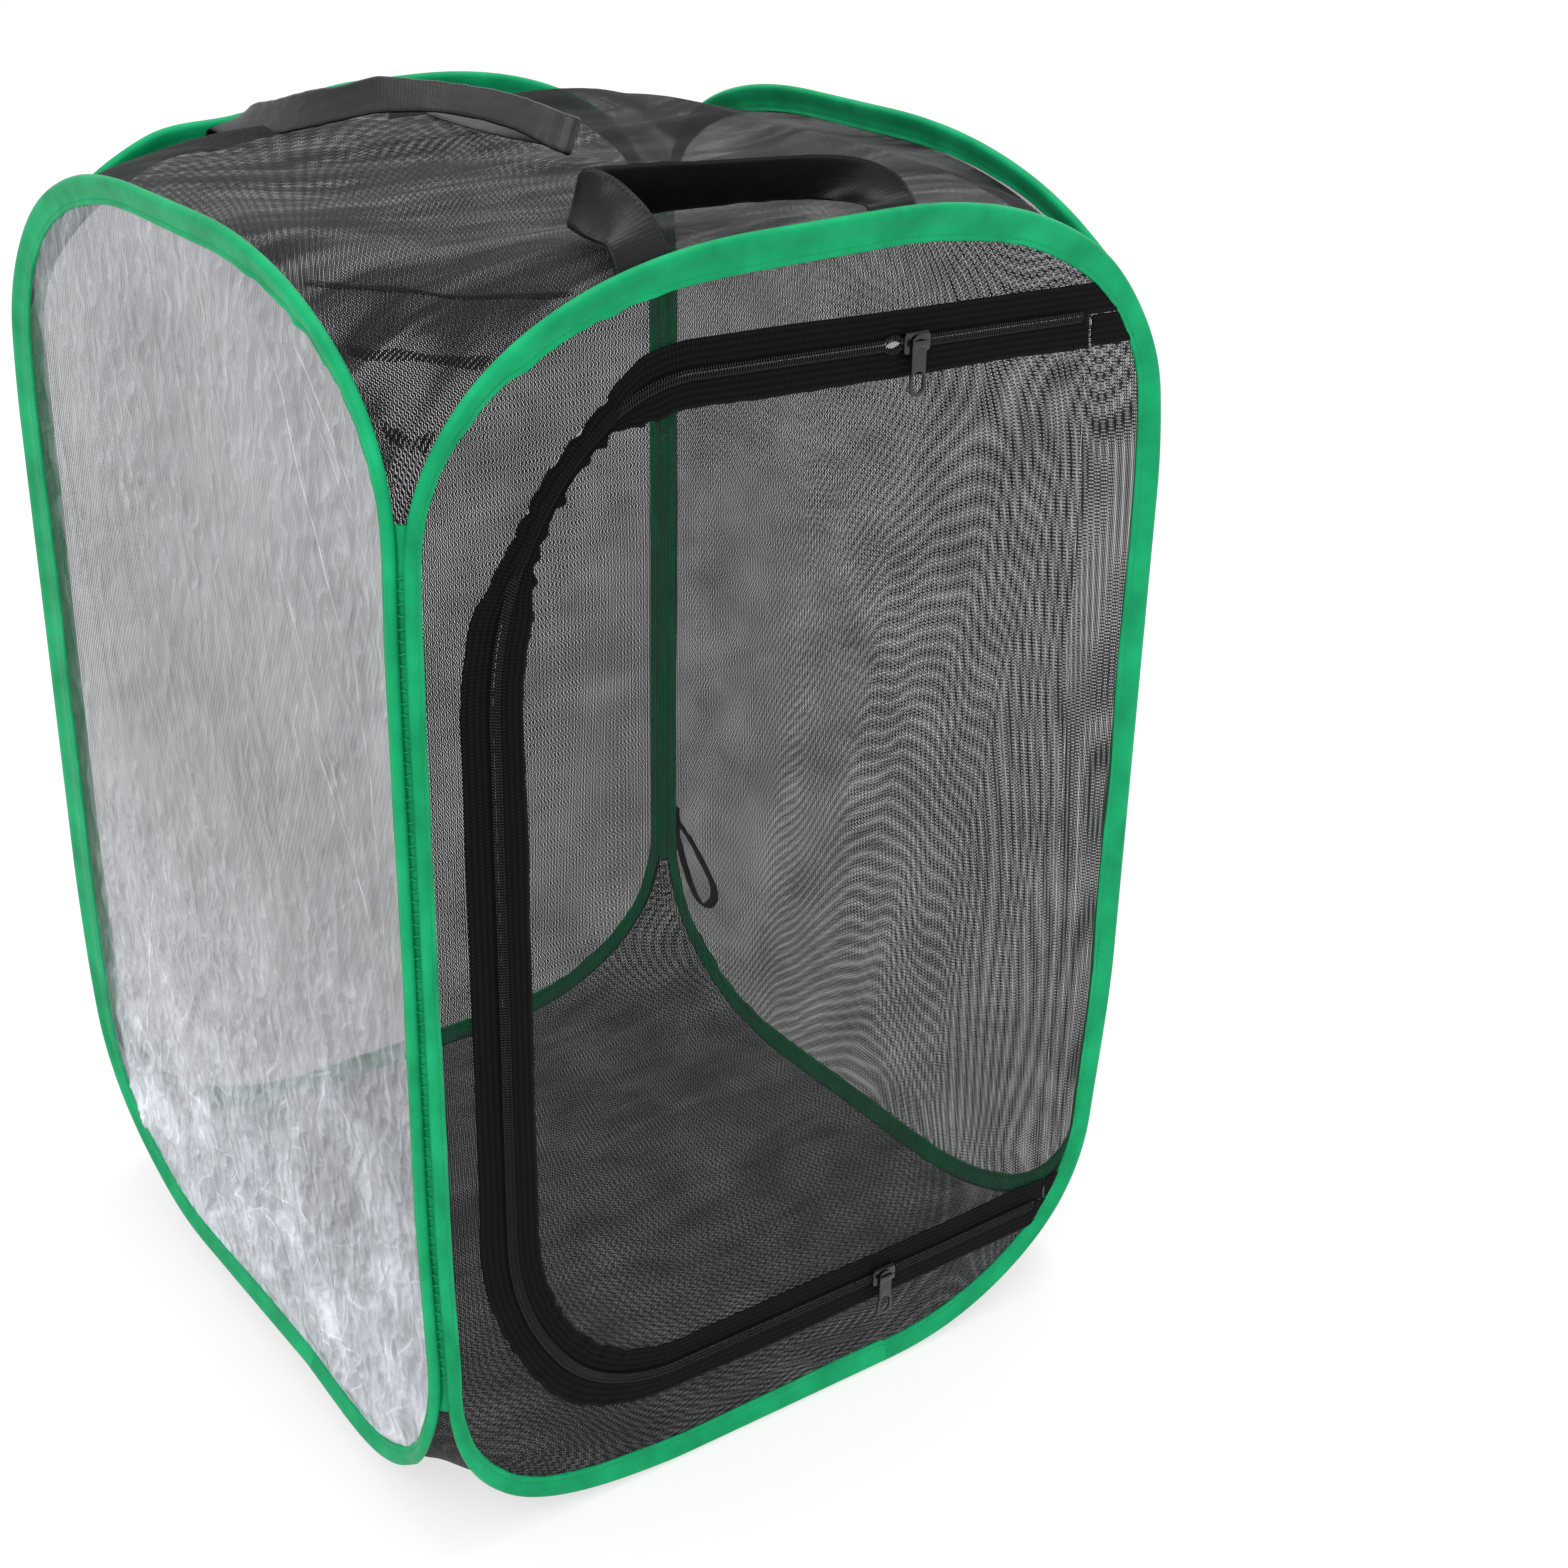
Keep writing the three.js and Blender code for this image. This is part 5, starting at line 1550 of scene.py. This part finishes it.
def make_coil(name, side_sign, body, node):
    """One spiral: an oval that turns round its own line beside the middle line."""
    start = coil_setback + 0.8 * MM
    turns = int((zip_length - 2 * start) / coil_pitch)
    turn = np.arange(turns * 12 + 1) / 12
    phase = 0.0 if side_sign > 0 else np.pi
    at = start + turn * coil_pitch
    angle = 2 * np.pi * turn + phase
    own = side_sign * (coil_offset + gape(at))
    middle = zip_place(at, own)
    spiral = zip_place(at, own + coil_half_width * np.cos(angle))
    path = on_wall("front", spiral[:, 0], coil_middle + coil_half_height * np.sin(angle), spiral[:, 1])
    core = on_wall("front", middle[:, 0], coil_middle + 0 * at, middle[:, 1])
    coil = tube_along(name, path, path - core, coil_wire, 5, nylon_finish)
    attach(coil, body)
    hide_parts(node)
    at = np.arange(start, start + turns * coil_pitch, coil_pitch / 4)
    line = zip_place(at, side_sign * (1.15 * MM + gape(at)))
    rise = coil_middle + 0.83 * MM + 0.07 * MM * np.cos(2 * np.pi * at / coil_pitch)
    path = on_wall("front", line[:, 0], rise, line[:, 1])
    guide = np.tile([0.0, -1.0, 0.0], (len(path), 1))
    thread = tube_along(name + "_thread", path, guide, 0.2 * MM, 5, black_thread)
    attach(thread, body)
    return coil


frame_coil = make_coil("frame_coil", 1, "front", "frame_zip_coil")
door_coil = make_coil("door_coil", -1, "door", "door_zip_coil")
print("coil faces", len(frame_coil.data.polygons), len(door_coil.data.polygons))

# %% [markdown]
# Each end of the chain is closed by a bar tack: a few doubled stitches over both coils.


# %% End stops
def make_stop(name, node, run_at):
    """Seven stitches side by side across the coils."""
    at = run_at + np.linspace(-1.35, 1.35, 7) * MM
    middle = zip_place(at, 0 * at)
    ahead = zip_place(at + 0.1 * MM, 0 * at)
    places = on_wall("front", middle[:, 0], coil_middle + 0.1 * MM + 0 * at, middle[:, 1])
    run = unit(on_wall("front", ahead[:, 0], coil_middle + 0.1 * MM + 0 * at, ahead[:, 1]) - places)
    z_axes = np.tile([0.0, -1.0, 0.0], (len(at), 1))
    x_axes = unit(np.cross(run, z_axes))
    stitch = bar_shape(3.6 * MM, 0.5 * MM, 1.3 * MM, rings=6, sides=8)
    stop = repeat_shape(name, stitch, places, x_axes, z_axes, black_thread, "front")
    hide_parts(node)
    print(name, "at", round(float(run_at), 3), "m along the zip")


make_stop("upper_bar_tack", "top_zip_stop", coil_setback - 0.6 * MM)
make_stop("lower_bar_tack", "bottom_zip_stop", zip_length - coil_setback + 0.6 * MM)

# %% [markdown]
# A slider is cast zinc with black paint: a shield plate, two flanges that curl over the coils, and a raised
# bridge. The pull hangs from the bridge. Its plate has an eye at the top and an oval window in its wide
# end. A filled curve makes each plate, so that its edges and the edges of its holes are round.


# %% Sliders and pulls
def painted_zinc():
    """Black electro-painted zinc: satin gloss, with a lighter grey at random spots, where it is also rougher.
    """
    material, tree, shader, cloud = speckled(
        "painted_zinc", "#141416", 0.3, 420.0, ("#060607", "#18181b"), detail=4.0, Metallic=0.35,
        Specular_IOR_Level=0.6, Coat_Weight=0.4, Coat_Roughness=0.15)
    worn = add(tree, "MapRange", {"Value": cloud.outputs["Fac"], "To Min": 0.2, "To Max": 0.42})
    tree.links.new(worn.outputs["Result"], shader.inputs["Roughness"])
    bump = add(tree, "Bump", {"Height": cloud.outputs["Fac"], "Strength": 0.2, "Distance": 0.05 * MM})
    tree.links.new(bump.outputs["Normal"], shader.inputs["Normal"])
    return material


zinc_finish = painted_zinc()


def round_plate(outlines, thickness, bevel):
    """The mesh of a flat plate in millimetres: the first outline is its edge and the others are its
    holes."""
    data = bpy.data.curves.new("plate", "CURVE")
    data.dimensions = "2D"
    data.fill_mode = "BOTH"
    data.extrude = thickness / 2 - bevel
    data.bevel_depth = bevel
    data.bevel_resolution = 3
    data.offset = -bevel
    for outline in outlines:
        spline = data.splines.new("POLY")
        spline.points.add(len(outline) - 1)
        spline.use_cyclic_u = True
        flat = np.column_stack([outline, np.zeros(len(outline)), np.ones(len(outline))])
        spline.points.foreach_set("co", flat.ravel())
    holder = bpy.data.objects.new("plate", data)
    scene.collection.objects.link(holder)
    mesh = bpy.data.meshes.new_from_object(holder.evaluated_get(bpy.context.evaluated_depsgraph_get()))
    bpy.data.objects.remove(holder)
    bpy.data.curves.remove(data)
    return mesh


def arc(radius, x, z, start, end, count=20):
    """Points of an arc, angles in turns."""
    angle = np.linspace(start, end, count) * 2 * np.pi
    return np.stack([x + radius * np.cos(angle), z + radius * np.sin(angle)], 1)


def run_matrix(across, up, angle, outward):
    """From millimetres on a zip part, X along the run, Y up and Z out of the wall, to metres in the
    world."""
    run = Vector((math.cos(angle), 0, math.sin(angle)))
    rise = Vector((-math.sin(angle), 0, math.cos(angle)))
    out = Vector((0, -1, 0))
    origin = Vector((across, -front_plane - outward, up))
    matrix = Matrix.Identity(4)
    for row in range(3):
        for column, axis in enumerate((run, rise, out)):
            matrix[row][column] = axis[row] * MM
        matrix[row][3] = origin[row]
    return matrix


smooth_angle = 0.6


def assemble(name, parts, material):
    """One object from several meshes, each with its own placing. An edge is smooth where its two faces meet
    at less than 0.6 radians."""
    shape = bmesh.new()
    for mesh, matrix in parts:
        placed = mesh.copy()
        placed.transform(matrix)
        shape.from_mesh(placed)
        bpy.data.meshes.remove(placed)
    bmesh.ops.remove_doubles(shape, verts=shape.verts, dist=0.002 * MM)
    bmesh.ops.recalc_face_normals(shape, faces=shape.faces)
    for edge in shape.edges:
        edge.smooth = edge.calc_face_angle(0) < smooth_angle
    for face in shape.faces:
        face.smooth = True
    mesh = bpy.data.meshes.new(name)
    shape.to_mesh(mesh)
    shape.free()
    mesh.materials.append(material)
    made = bpy.data.objects.new(name, mesh)
    scene.collection.objects.link(made)
    return made


def bridge_mesh():
    """The slider's bridge in millimetres: a level band that sags a little at its ends. It stands on one
    post, so that the pull is free to swing below it."""
    share = np.linspace(-1, 1, 25)
    along = share * 4.6
    rise = 6.85 - 0.25 * share ** 2
    path = np.stack([along, 0 * along, rise - tape_front / MM], 1)
    across = np.tile([0.0, 1.0, 0.0], (len(path), 1))
    holder = band("bridge", path * MM, across, 2.9 * MM, 0.95 * MM, zinc_finish)
    mesh = holder.data.copy()
    mesh.transform(Matrix.Scale(1000, 4))
    bpy.data.objects.remove(holder)
    return mesh


shield = np.concatenate([
    arc(1.6, 5.4, 2.3, 0, 0.25, 8), arc(1.9, -5.1, 2.6, 0.25, 0.5, 8),
    arc(1.9, -5.1, -2.6, 0.5, 0.75, 8), arc(1.6, 5.4, -2.3, 0.75, 1, 8),
])
flange = np.array([(-6.2, -1.0), (6.4, -1.0), (6.4, 1.0), (-6.2, 1.0)])
pull_outline = np.concatenate([
    arc(3.8, 0, 0, 0, 0.5), [(-3.8, -12.6), (-4.25, -14.4)], arc(4.8, 0, -18.2, 0.5, 1),
    [(4.25, -14.4), (3.8, -12.6)],
])
pull_eye = arc(1.75, 0, 0, 0, 1)[:-1]
pull_window = np.concatenate([arc(2.8, 0, -14.7, 0, 0.5), arc(2.8, 0, -18.2, 0.5, 1)])
shield_mesh = round_plate([shield], 1.1, 0.4)
flange_mesh = round_plate([flange], 0.9, 0.25)
crown_mesh = bridge_mesh()
post_mesh = round_plate([arc(1.35, 0, 0, 0, 1, 25)[:-1]], 2.4, 0.1)
pull_mesh = round_plate([pull_outline, pull_eye, pull_window], 1.2, 0.42)
on_edge = Matrix.Rotation(math.radians(90), 4, "X")
# How far out of the wall's plane the slider's parts lie.
plate_out = 4.0 * MM
flange_out = 2.5 * MM
post_out = 5.4 * MM
pull_out = 5.45 * MM
# How far each flange lies from the slider's middle line, in millimetres, as its mesh is.
flange_aside = 4.05


def make_slider(name, across, up, angle, node, body, pull_node, pull_body):
    """A slider and its pull. The pull hangs straight down whatever the run's slope is."""
    plate = run_matrix(across, up, angle, plate_out)
    edges = [run_matrix(across, up, angle, flange_out) @ Matrix.Translation((0, aside, 0)) @ on_edge
             for aside in (flange_aside, -flange_aside)]
    slider = assemble(name, [(shield_mesh, plate), (flange_mesh, edges[0]), (flange_mesh, edges[1]),
                             (post_mesh, run_matrix(across, up, angle, post_out)),
                             (crown_mesh, run_matrix(across, up, angle, tape_front))], zinc_finish)
    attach(slider, body)
    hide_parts(node)
    pull = assemble(name + "_tab", [(pull_mesh, run_matrix(across, up, 0.0, pull_out))], zinc_finish)
    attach(pull, pull_body)
    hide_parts(pull_node)


upper_across = 49 * MM
upper_up = zip_top_left_height + top_slope * (upper_across - top_run_left)
make_slider("upper_slider", upper_across, upper_up, math.atan(top_slope), "top_slider", "upper_slider",
            "top_slider_pull", "upper_pull")
make_slider("lower_slider", 56 * MM, zip_bottom_height, 0.0, "bottom_slider", "lower_slider",
            "bottom_slider_pull", "lower_pull")
print("pull faces", len(pull_mesh.polygons))

# %% [markdown]
# Both carrying straps are black satin webbing, sewn along both edges. They are limp, so they lie on the top
# in the folds in which they fell. The routes are shares of three lengths: along the hoop, inwards from it,
# and lift. Each strap rides on its hoop.


# %% Carrying straps
strap_width = 26 * MM
strap_thickness = 1.2 * MM
seam_share = 0.83
strap_pucker = 0.35 * MM
binding_reach = 5.6 * MM


def satin_strap():
    """Black satin webbing: floats across the strap, drawn every 1.8 mm so that they show, give a soft
    sheen."""
    material, tree, shader = start_material("satin_strap", "#0a0a0c", 0.42, Sheen_Weight=0.03,
                                            Sheen_Roughness=0.35, Specular_IOR_Level=0.25)
    shader.inputs["Sheen Tint"].default_value = colour("#b8b8c4")
    place = add(tree, "UVMap")
    floats = add(tree, "TexWave", {"Vector": place.outputs["UV"], "Scale": wave_scale(1.777 * MM),
                                   "Distortion": 0.8, "Detail Scale": 2.0}, bands_direction="Y")
    cloud = add(tree, "TexNoise", {"Vector": place.outputs["UV"], "Scale": 90.0, "Detail": 3.0})
    tones = add(tree, "ValToRGB", {"Fac": cloud.outputs["Fac"]}, tones=("#060607", "#131316"))
    tree.links.new(tones.outputs["Color"], shader.inputs["Base Color"])
    fine = add(tree, "Bump", {"Height": floats.outputs["Fac"], "Strength": 0.35, "Distance": 0.12 * MM})
    puckers = add(tree, "Bump", {"Height": cloud.outputs["Fac"], "Strength": 0.5, "Distance": 1.2 * MM,
                                 "Normal": fine.outputs["Normal"]})
    tree.links.new(puckers.outputs["Normal"], shader.inputs["Normal"])
    return material


strap_finish = satin_strap()
# Each row of a route: shares along the hoop, inwards and up, then the direction across the strap.
FRONT_STRAP = [
    (-1, -0.06, 0, 1, 0, 0), (-1, 0.07, 0, 1, 0, 0), (-1.01, 0.24, 0, 1, 0.05, 0.25),
    (-1.03, 0.52, 0, 0.75, 0.1, 0.7), (-1.06, 0.82, 0, 0.25, -0.2, 0.9), (-1.07, 0.97, 0, 0, -0.4, 0.92),
    (-1.01, 1, 0, 0, -0.4, 0.92), (-0.7, 0.93, 0, 0, -0.45, 0.9), (-0.3, 0.8, 0, 0.05, -0.55, 0.82),
    (0.02, 0.68, 0, 0.2, -0.55, 0.75), (0.25, 0.53, 0, 0.45, -0.45, 0.62), (0.4, 0.36, 0, 0.8, -0.25, 0.4),
    (0.46, 0.2, 0, 1, 0, 0.12), (0.47, 0.07, 0, 1, 0, 0), (0.47, -0.06, 0, 1, 0, 0),
]
BACK_STRAP = [
    (1, -0.011, 0, 1, 0, 0), (1, 0.014, 0, 1, 0, 0), (1.03, 0.1, -1.9, 0.8, 0.4, -0.5),
    (1.0, 0.23, -1.3, 0.6, 0.6, -0.55), (0.93, 0.34, -0.5, 0.5, 0.65, -0.55),
    (0.8, 0.436, 0.3, 0.45, 0.75, -0.5), (0.63, 0.49, 0.8, 0.45, 0.72, -0.5),
    (0.43, 0.566, 1, 0.5, 0.75, -0.42), (0.28, 0.64, 1, 0.6, 0.7, -0.38),
    (0.213, 0.77, 0.9, 0.57, 0.71, -0.42), (0.2, 0.884, 0.65, 0.6, 0.66, -0.45),
    (0.227, 0.975, 0.5, 0.62, 0.62, -0.45),
    (0.173, 1, 0.28, 0.62, 0.62, -0.45), (0.12, 0.975, 0.05, 0.62, 0.62, -0.45),
    (0.067, 0.857, 0, 0.62, 0.66, -0.42), (0.02, 0.66, -0.4, 0.7, 0.65, -0.3),
    (-0.1, 0.444, -0.8, 0.8, 0.55, -0.2), (-0.25, 0.227, -1.2, 0.9, 0.4, -0.1),
    (-0.36, 0.083, -1.5, 1, 0.15, 0), (-0.4, 0.014, 0, 1, 0, 0), (-0.4, -0.011, 0, 1, 0, 0),
]


def hoop_top(x):
    """Height of a hoop's outer edge at a place along its top: the corner's fuller ellipse beyond the level
    run."""
    beyond = np.clip((np.abs(x) - (wire_reach - top_corner_across)) / top_corner_across, 0, 1)
    return cage_height - top_corner_down * (1 - (1 - beyond ** corner_fullness) ** (1 / corner_fullness))


def strap_route(table, spread, reach, lift, wall_sign, ends):
    """Middle line and width directions of a strap in the world. Its ends are sewn to the tape's inner face,
    from the first to the second drop below the hoop's edge."""
    shares = np.array(table)
    place = shares[:, 0] * spread
    seated = np.abs(shares[:, 1] * reach) < binding_reach
    half = strap_width / 2
    rise = (hoop_top(place + half) - hoop_top(place - half)) / strap_width
    across = shares[:, 3:].copy()
    across[:, 2] = np.where(seated, across[:, 0] * rise, across[:, 2])
    across = unit(across)
    standing = np.where(seated, 0, np.abs(across[:, 2]) * half)
    lying = np.hypot(across[:, 0], across[:, 1]) * strap_thickness / 2
    base = np.where(seated, hoop_top(place), cage_height)
    middle = np.stack([place, -front_plane + shares[:, 1] * reach,
                       base + 0.3 * MM + standing + lying + shares[:, 2] * lift], 1)
    for end, inner in ((0, 1), (-1, -2)):
        middle[end, 1:] = (-front_plane + 3.4 * MM, base[end] - ends[0] * MM)
        middle[inner, 1:] = (-front_plane + 3.9 * MM, base[inner] - ends[1] * MM)
    turn = np.array([wall_sign, wall_sign, 1.0])
    return middle * turn, across * turn


def stitch_strap(name, body, at, frames, seed):
    """Stitches along both edges of a strap and on both faces. The frames are its middle line, the directions
    across it and the directions along it."""
    spots = np.arange(2 * MM, at[-1] - 2 * MM, 2.6 * MM)
    here = sample(spots, at, frames[0])
    over, ahead = (unit(sample(spots, at, directions)) for directions in frames[1:])
    normal = unit(np.cross(ahead, over))
    sides = []
    for edge in (-seam_share, seam_share):
        wave = ripple(spots / (6 * MM), 0 * spots + edge * 0.8, seed) * abs(edge) * strap_pucker
        for sign in (1, -1):
            spot = here + over * edge * strap_width / 2 + normal * (sign * 0.42 * MM + wave)[:, None]
            sides.append((spot, ahead, normal * sign))
    places, x_axes, z_axes = (np.concatenate(parts) for parts in zip(*sides))
    z_axes = unit(z_axes - x_axes * np.sum(z_axes * x_axes, -1, keepdims=True))
    stitch = bar_shape(2.0 * MM, 0.5 * MM, 0.45 * MM, rings=3)
    stitches = repeat_shape(name, stitch, places, x_axes, z_axes, black_thread, body)
    return stitches


def make_strap(name, node, body, table, spread, reach, lift, wall_sign, ends, seed):
    """A strap with two sewn edges. Its width waves a little, as sewn webbing does."""
    middle, across = strap_route(table, spread, reach, lift, wall_sign, ends)
    count = 240
    middle = smooth_path(middle, count)
    across = unit(smooth_path(across, count))
    along = unit(np.gradient(middle, axis=0))
    through = unit(np.cross(along, across))
    at = distances(middle)
    share = np.concatenate([np.linspace(-1, 1, 17), np.linspace(1, -1, 17)[1:-1]])
    face = np.concatenate([np.ones(17), -np.ones(15)])
    half = strap_thickness / 2 * (1 - 0.3 * np.exp(-((np.abs(share) - seam_share) / 0.05) ** 2))
    half = np.where(np.abs(share) > 0.99, 0.15 * MM, half)
    puckers = strap_pucker * ripple(at[:, None] / (6 * MM), share[None] * 0.8, seed) * np.abs(share)
    cup = 0.5 * MM * (share ** 2 - 0.4) * ripple(at[:, None] / (60 * MM), 0 * share[None], seed + 1)
    wide = share * (strap_width / 2 + 0.25 * MM * ripple(at[:, None] / (14 * MM), 0 * share[None], seed + 2))
    fade = np.sin(np.pi * np.linspace(0, 1, count))[:, None] ** 0.3
    points = (middle[:, None] + across[:, None] * wide[..., None]
              + through[:, None] * ((face * half)[None] + (puckers + cup) * fade)[..., None])
    length = np.concatenate([[0], at, at[-1:]])
    widths = np.append(share, -1) * strap_width / 2
    strap = grid_object(name, close_ends(middle, points), length, widths, strap_finish, close_columns=True)
    mend(strap)
    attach(strap, body)
    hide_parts(node)
    stitches = stitch_strap(name + "_stitches", body, at, (middle, across, along), seed)
    for piece in (strap, stitches):
        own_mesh(piece)
    print(name, round(float(at[-1]), 3), "m")


make_strap("front_strap", "front_handle", "front", FRONT_STRAP, 84 * MM, 44 * MM, 0, 1, (13, 1.5), 301)
make_strap("back_strap", "back_handle", "back", BACK_STRAP, 75 * MM, 230 * MM, 8 * MM, -1, (21, 9.5), 311)

# %% [markdown]
# A plain white floor and soft white light from all round, as in a product photograph. Two large lamps give
# the gloss on the film and the satin something to mirror.


# %% Studio
def studio_floor():
    """White acrylic that is lit from below, as for product pictures: it glows, so shadows on it stay
    faint."""
    material, _, shader, _ = speckled("lit_acrylic", "#a4a4a4", 0.9, 300.0, ("#a2a2a2", "#a6a6a6"),
                                      Specular_IOR_Level=0.0)
    shader.inputs["Emission Color"].default_value = (1, 1, 1, 1)
    shader.inputs["Emission Strength"].default_value = 0.64
    return material


floor_reach = 12.0
floor_points = np.array([[-1, -1, 0], [1, -1, 0], [1, 1, 0], [-1, 1, 0]]) * [floor_reach, floor_reach, 0]
floor_points[:, 2] = -1.0 * MM
studio = add_object("studio_floor", floor_points, np.array([[0, 1, 2, 3]]), studio_floor(), smooth=False)

world = bpy.data.worlds.new("studio")
world.use_nodes = True
world.node_tree.nodes["Background"].inputs["Color"].default_value = (1, 1, 1, 1)
world.node_tree.nodes["Background"].inputs["Strength"].default_value = 1.0
scene.world = world


def add_lamp(name, place, target, size, power):
    """A square area lamp that points at a target."""
    data = bpy.data.lights.new(name, "AREA")
    data.size = size
    data.energy = power
    lamp = bpy.data.objects.new(name, data)
    scene.collection.objects.link(lamp)
    lamp.location = place
    direction = np.array(place) - np.array(target)
    lamp.rotation_mode = "QUATERNION"
    lamp.rotation_quaternion = Vector(direction).to_track_quat("Z", "Y")


add_lamp("key_lamp", (-1.6, -1.4, 2.2), (0, 0, 0.3), 1.2, 22)
add_lamp("top_lamp", (0.4, 0.2, 2.6), (0, 0, 0.4), 1.6, 22)
scene.view_settings.view_transform = "Standard"
scene.cycles.transparent_max_bounces = 32
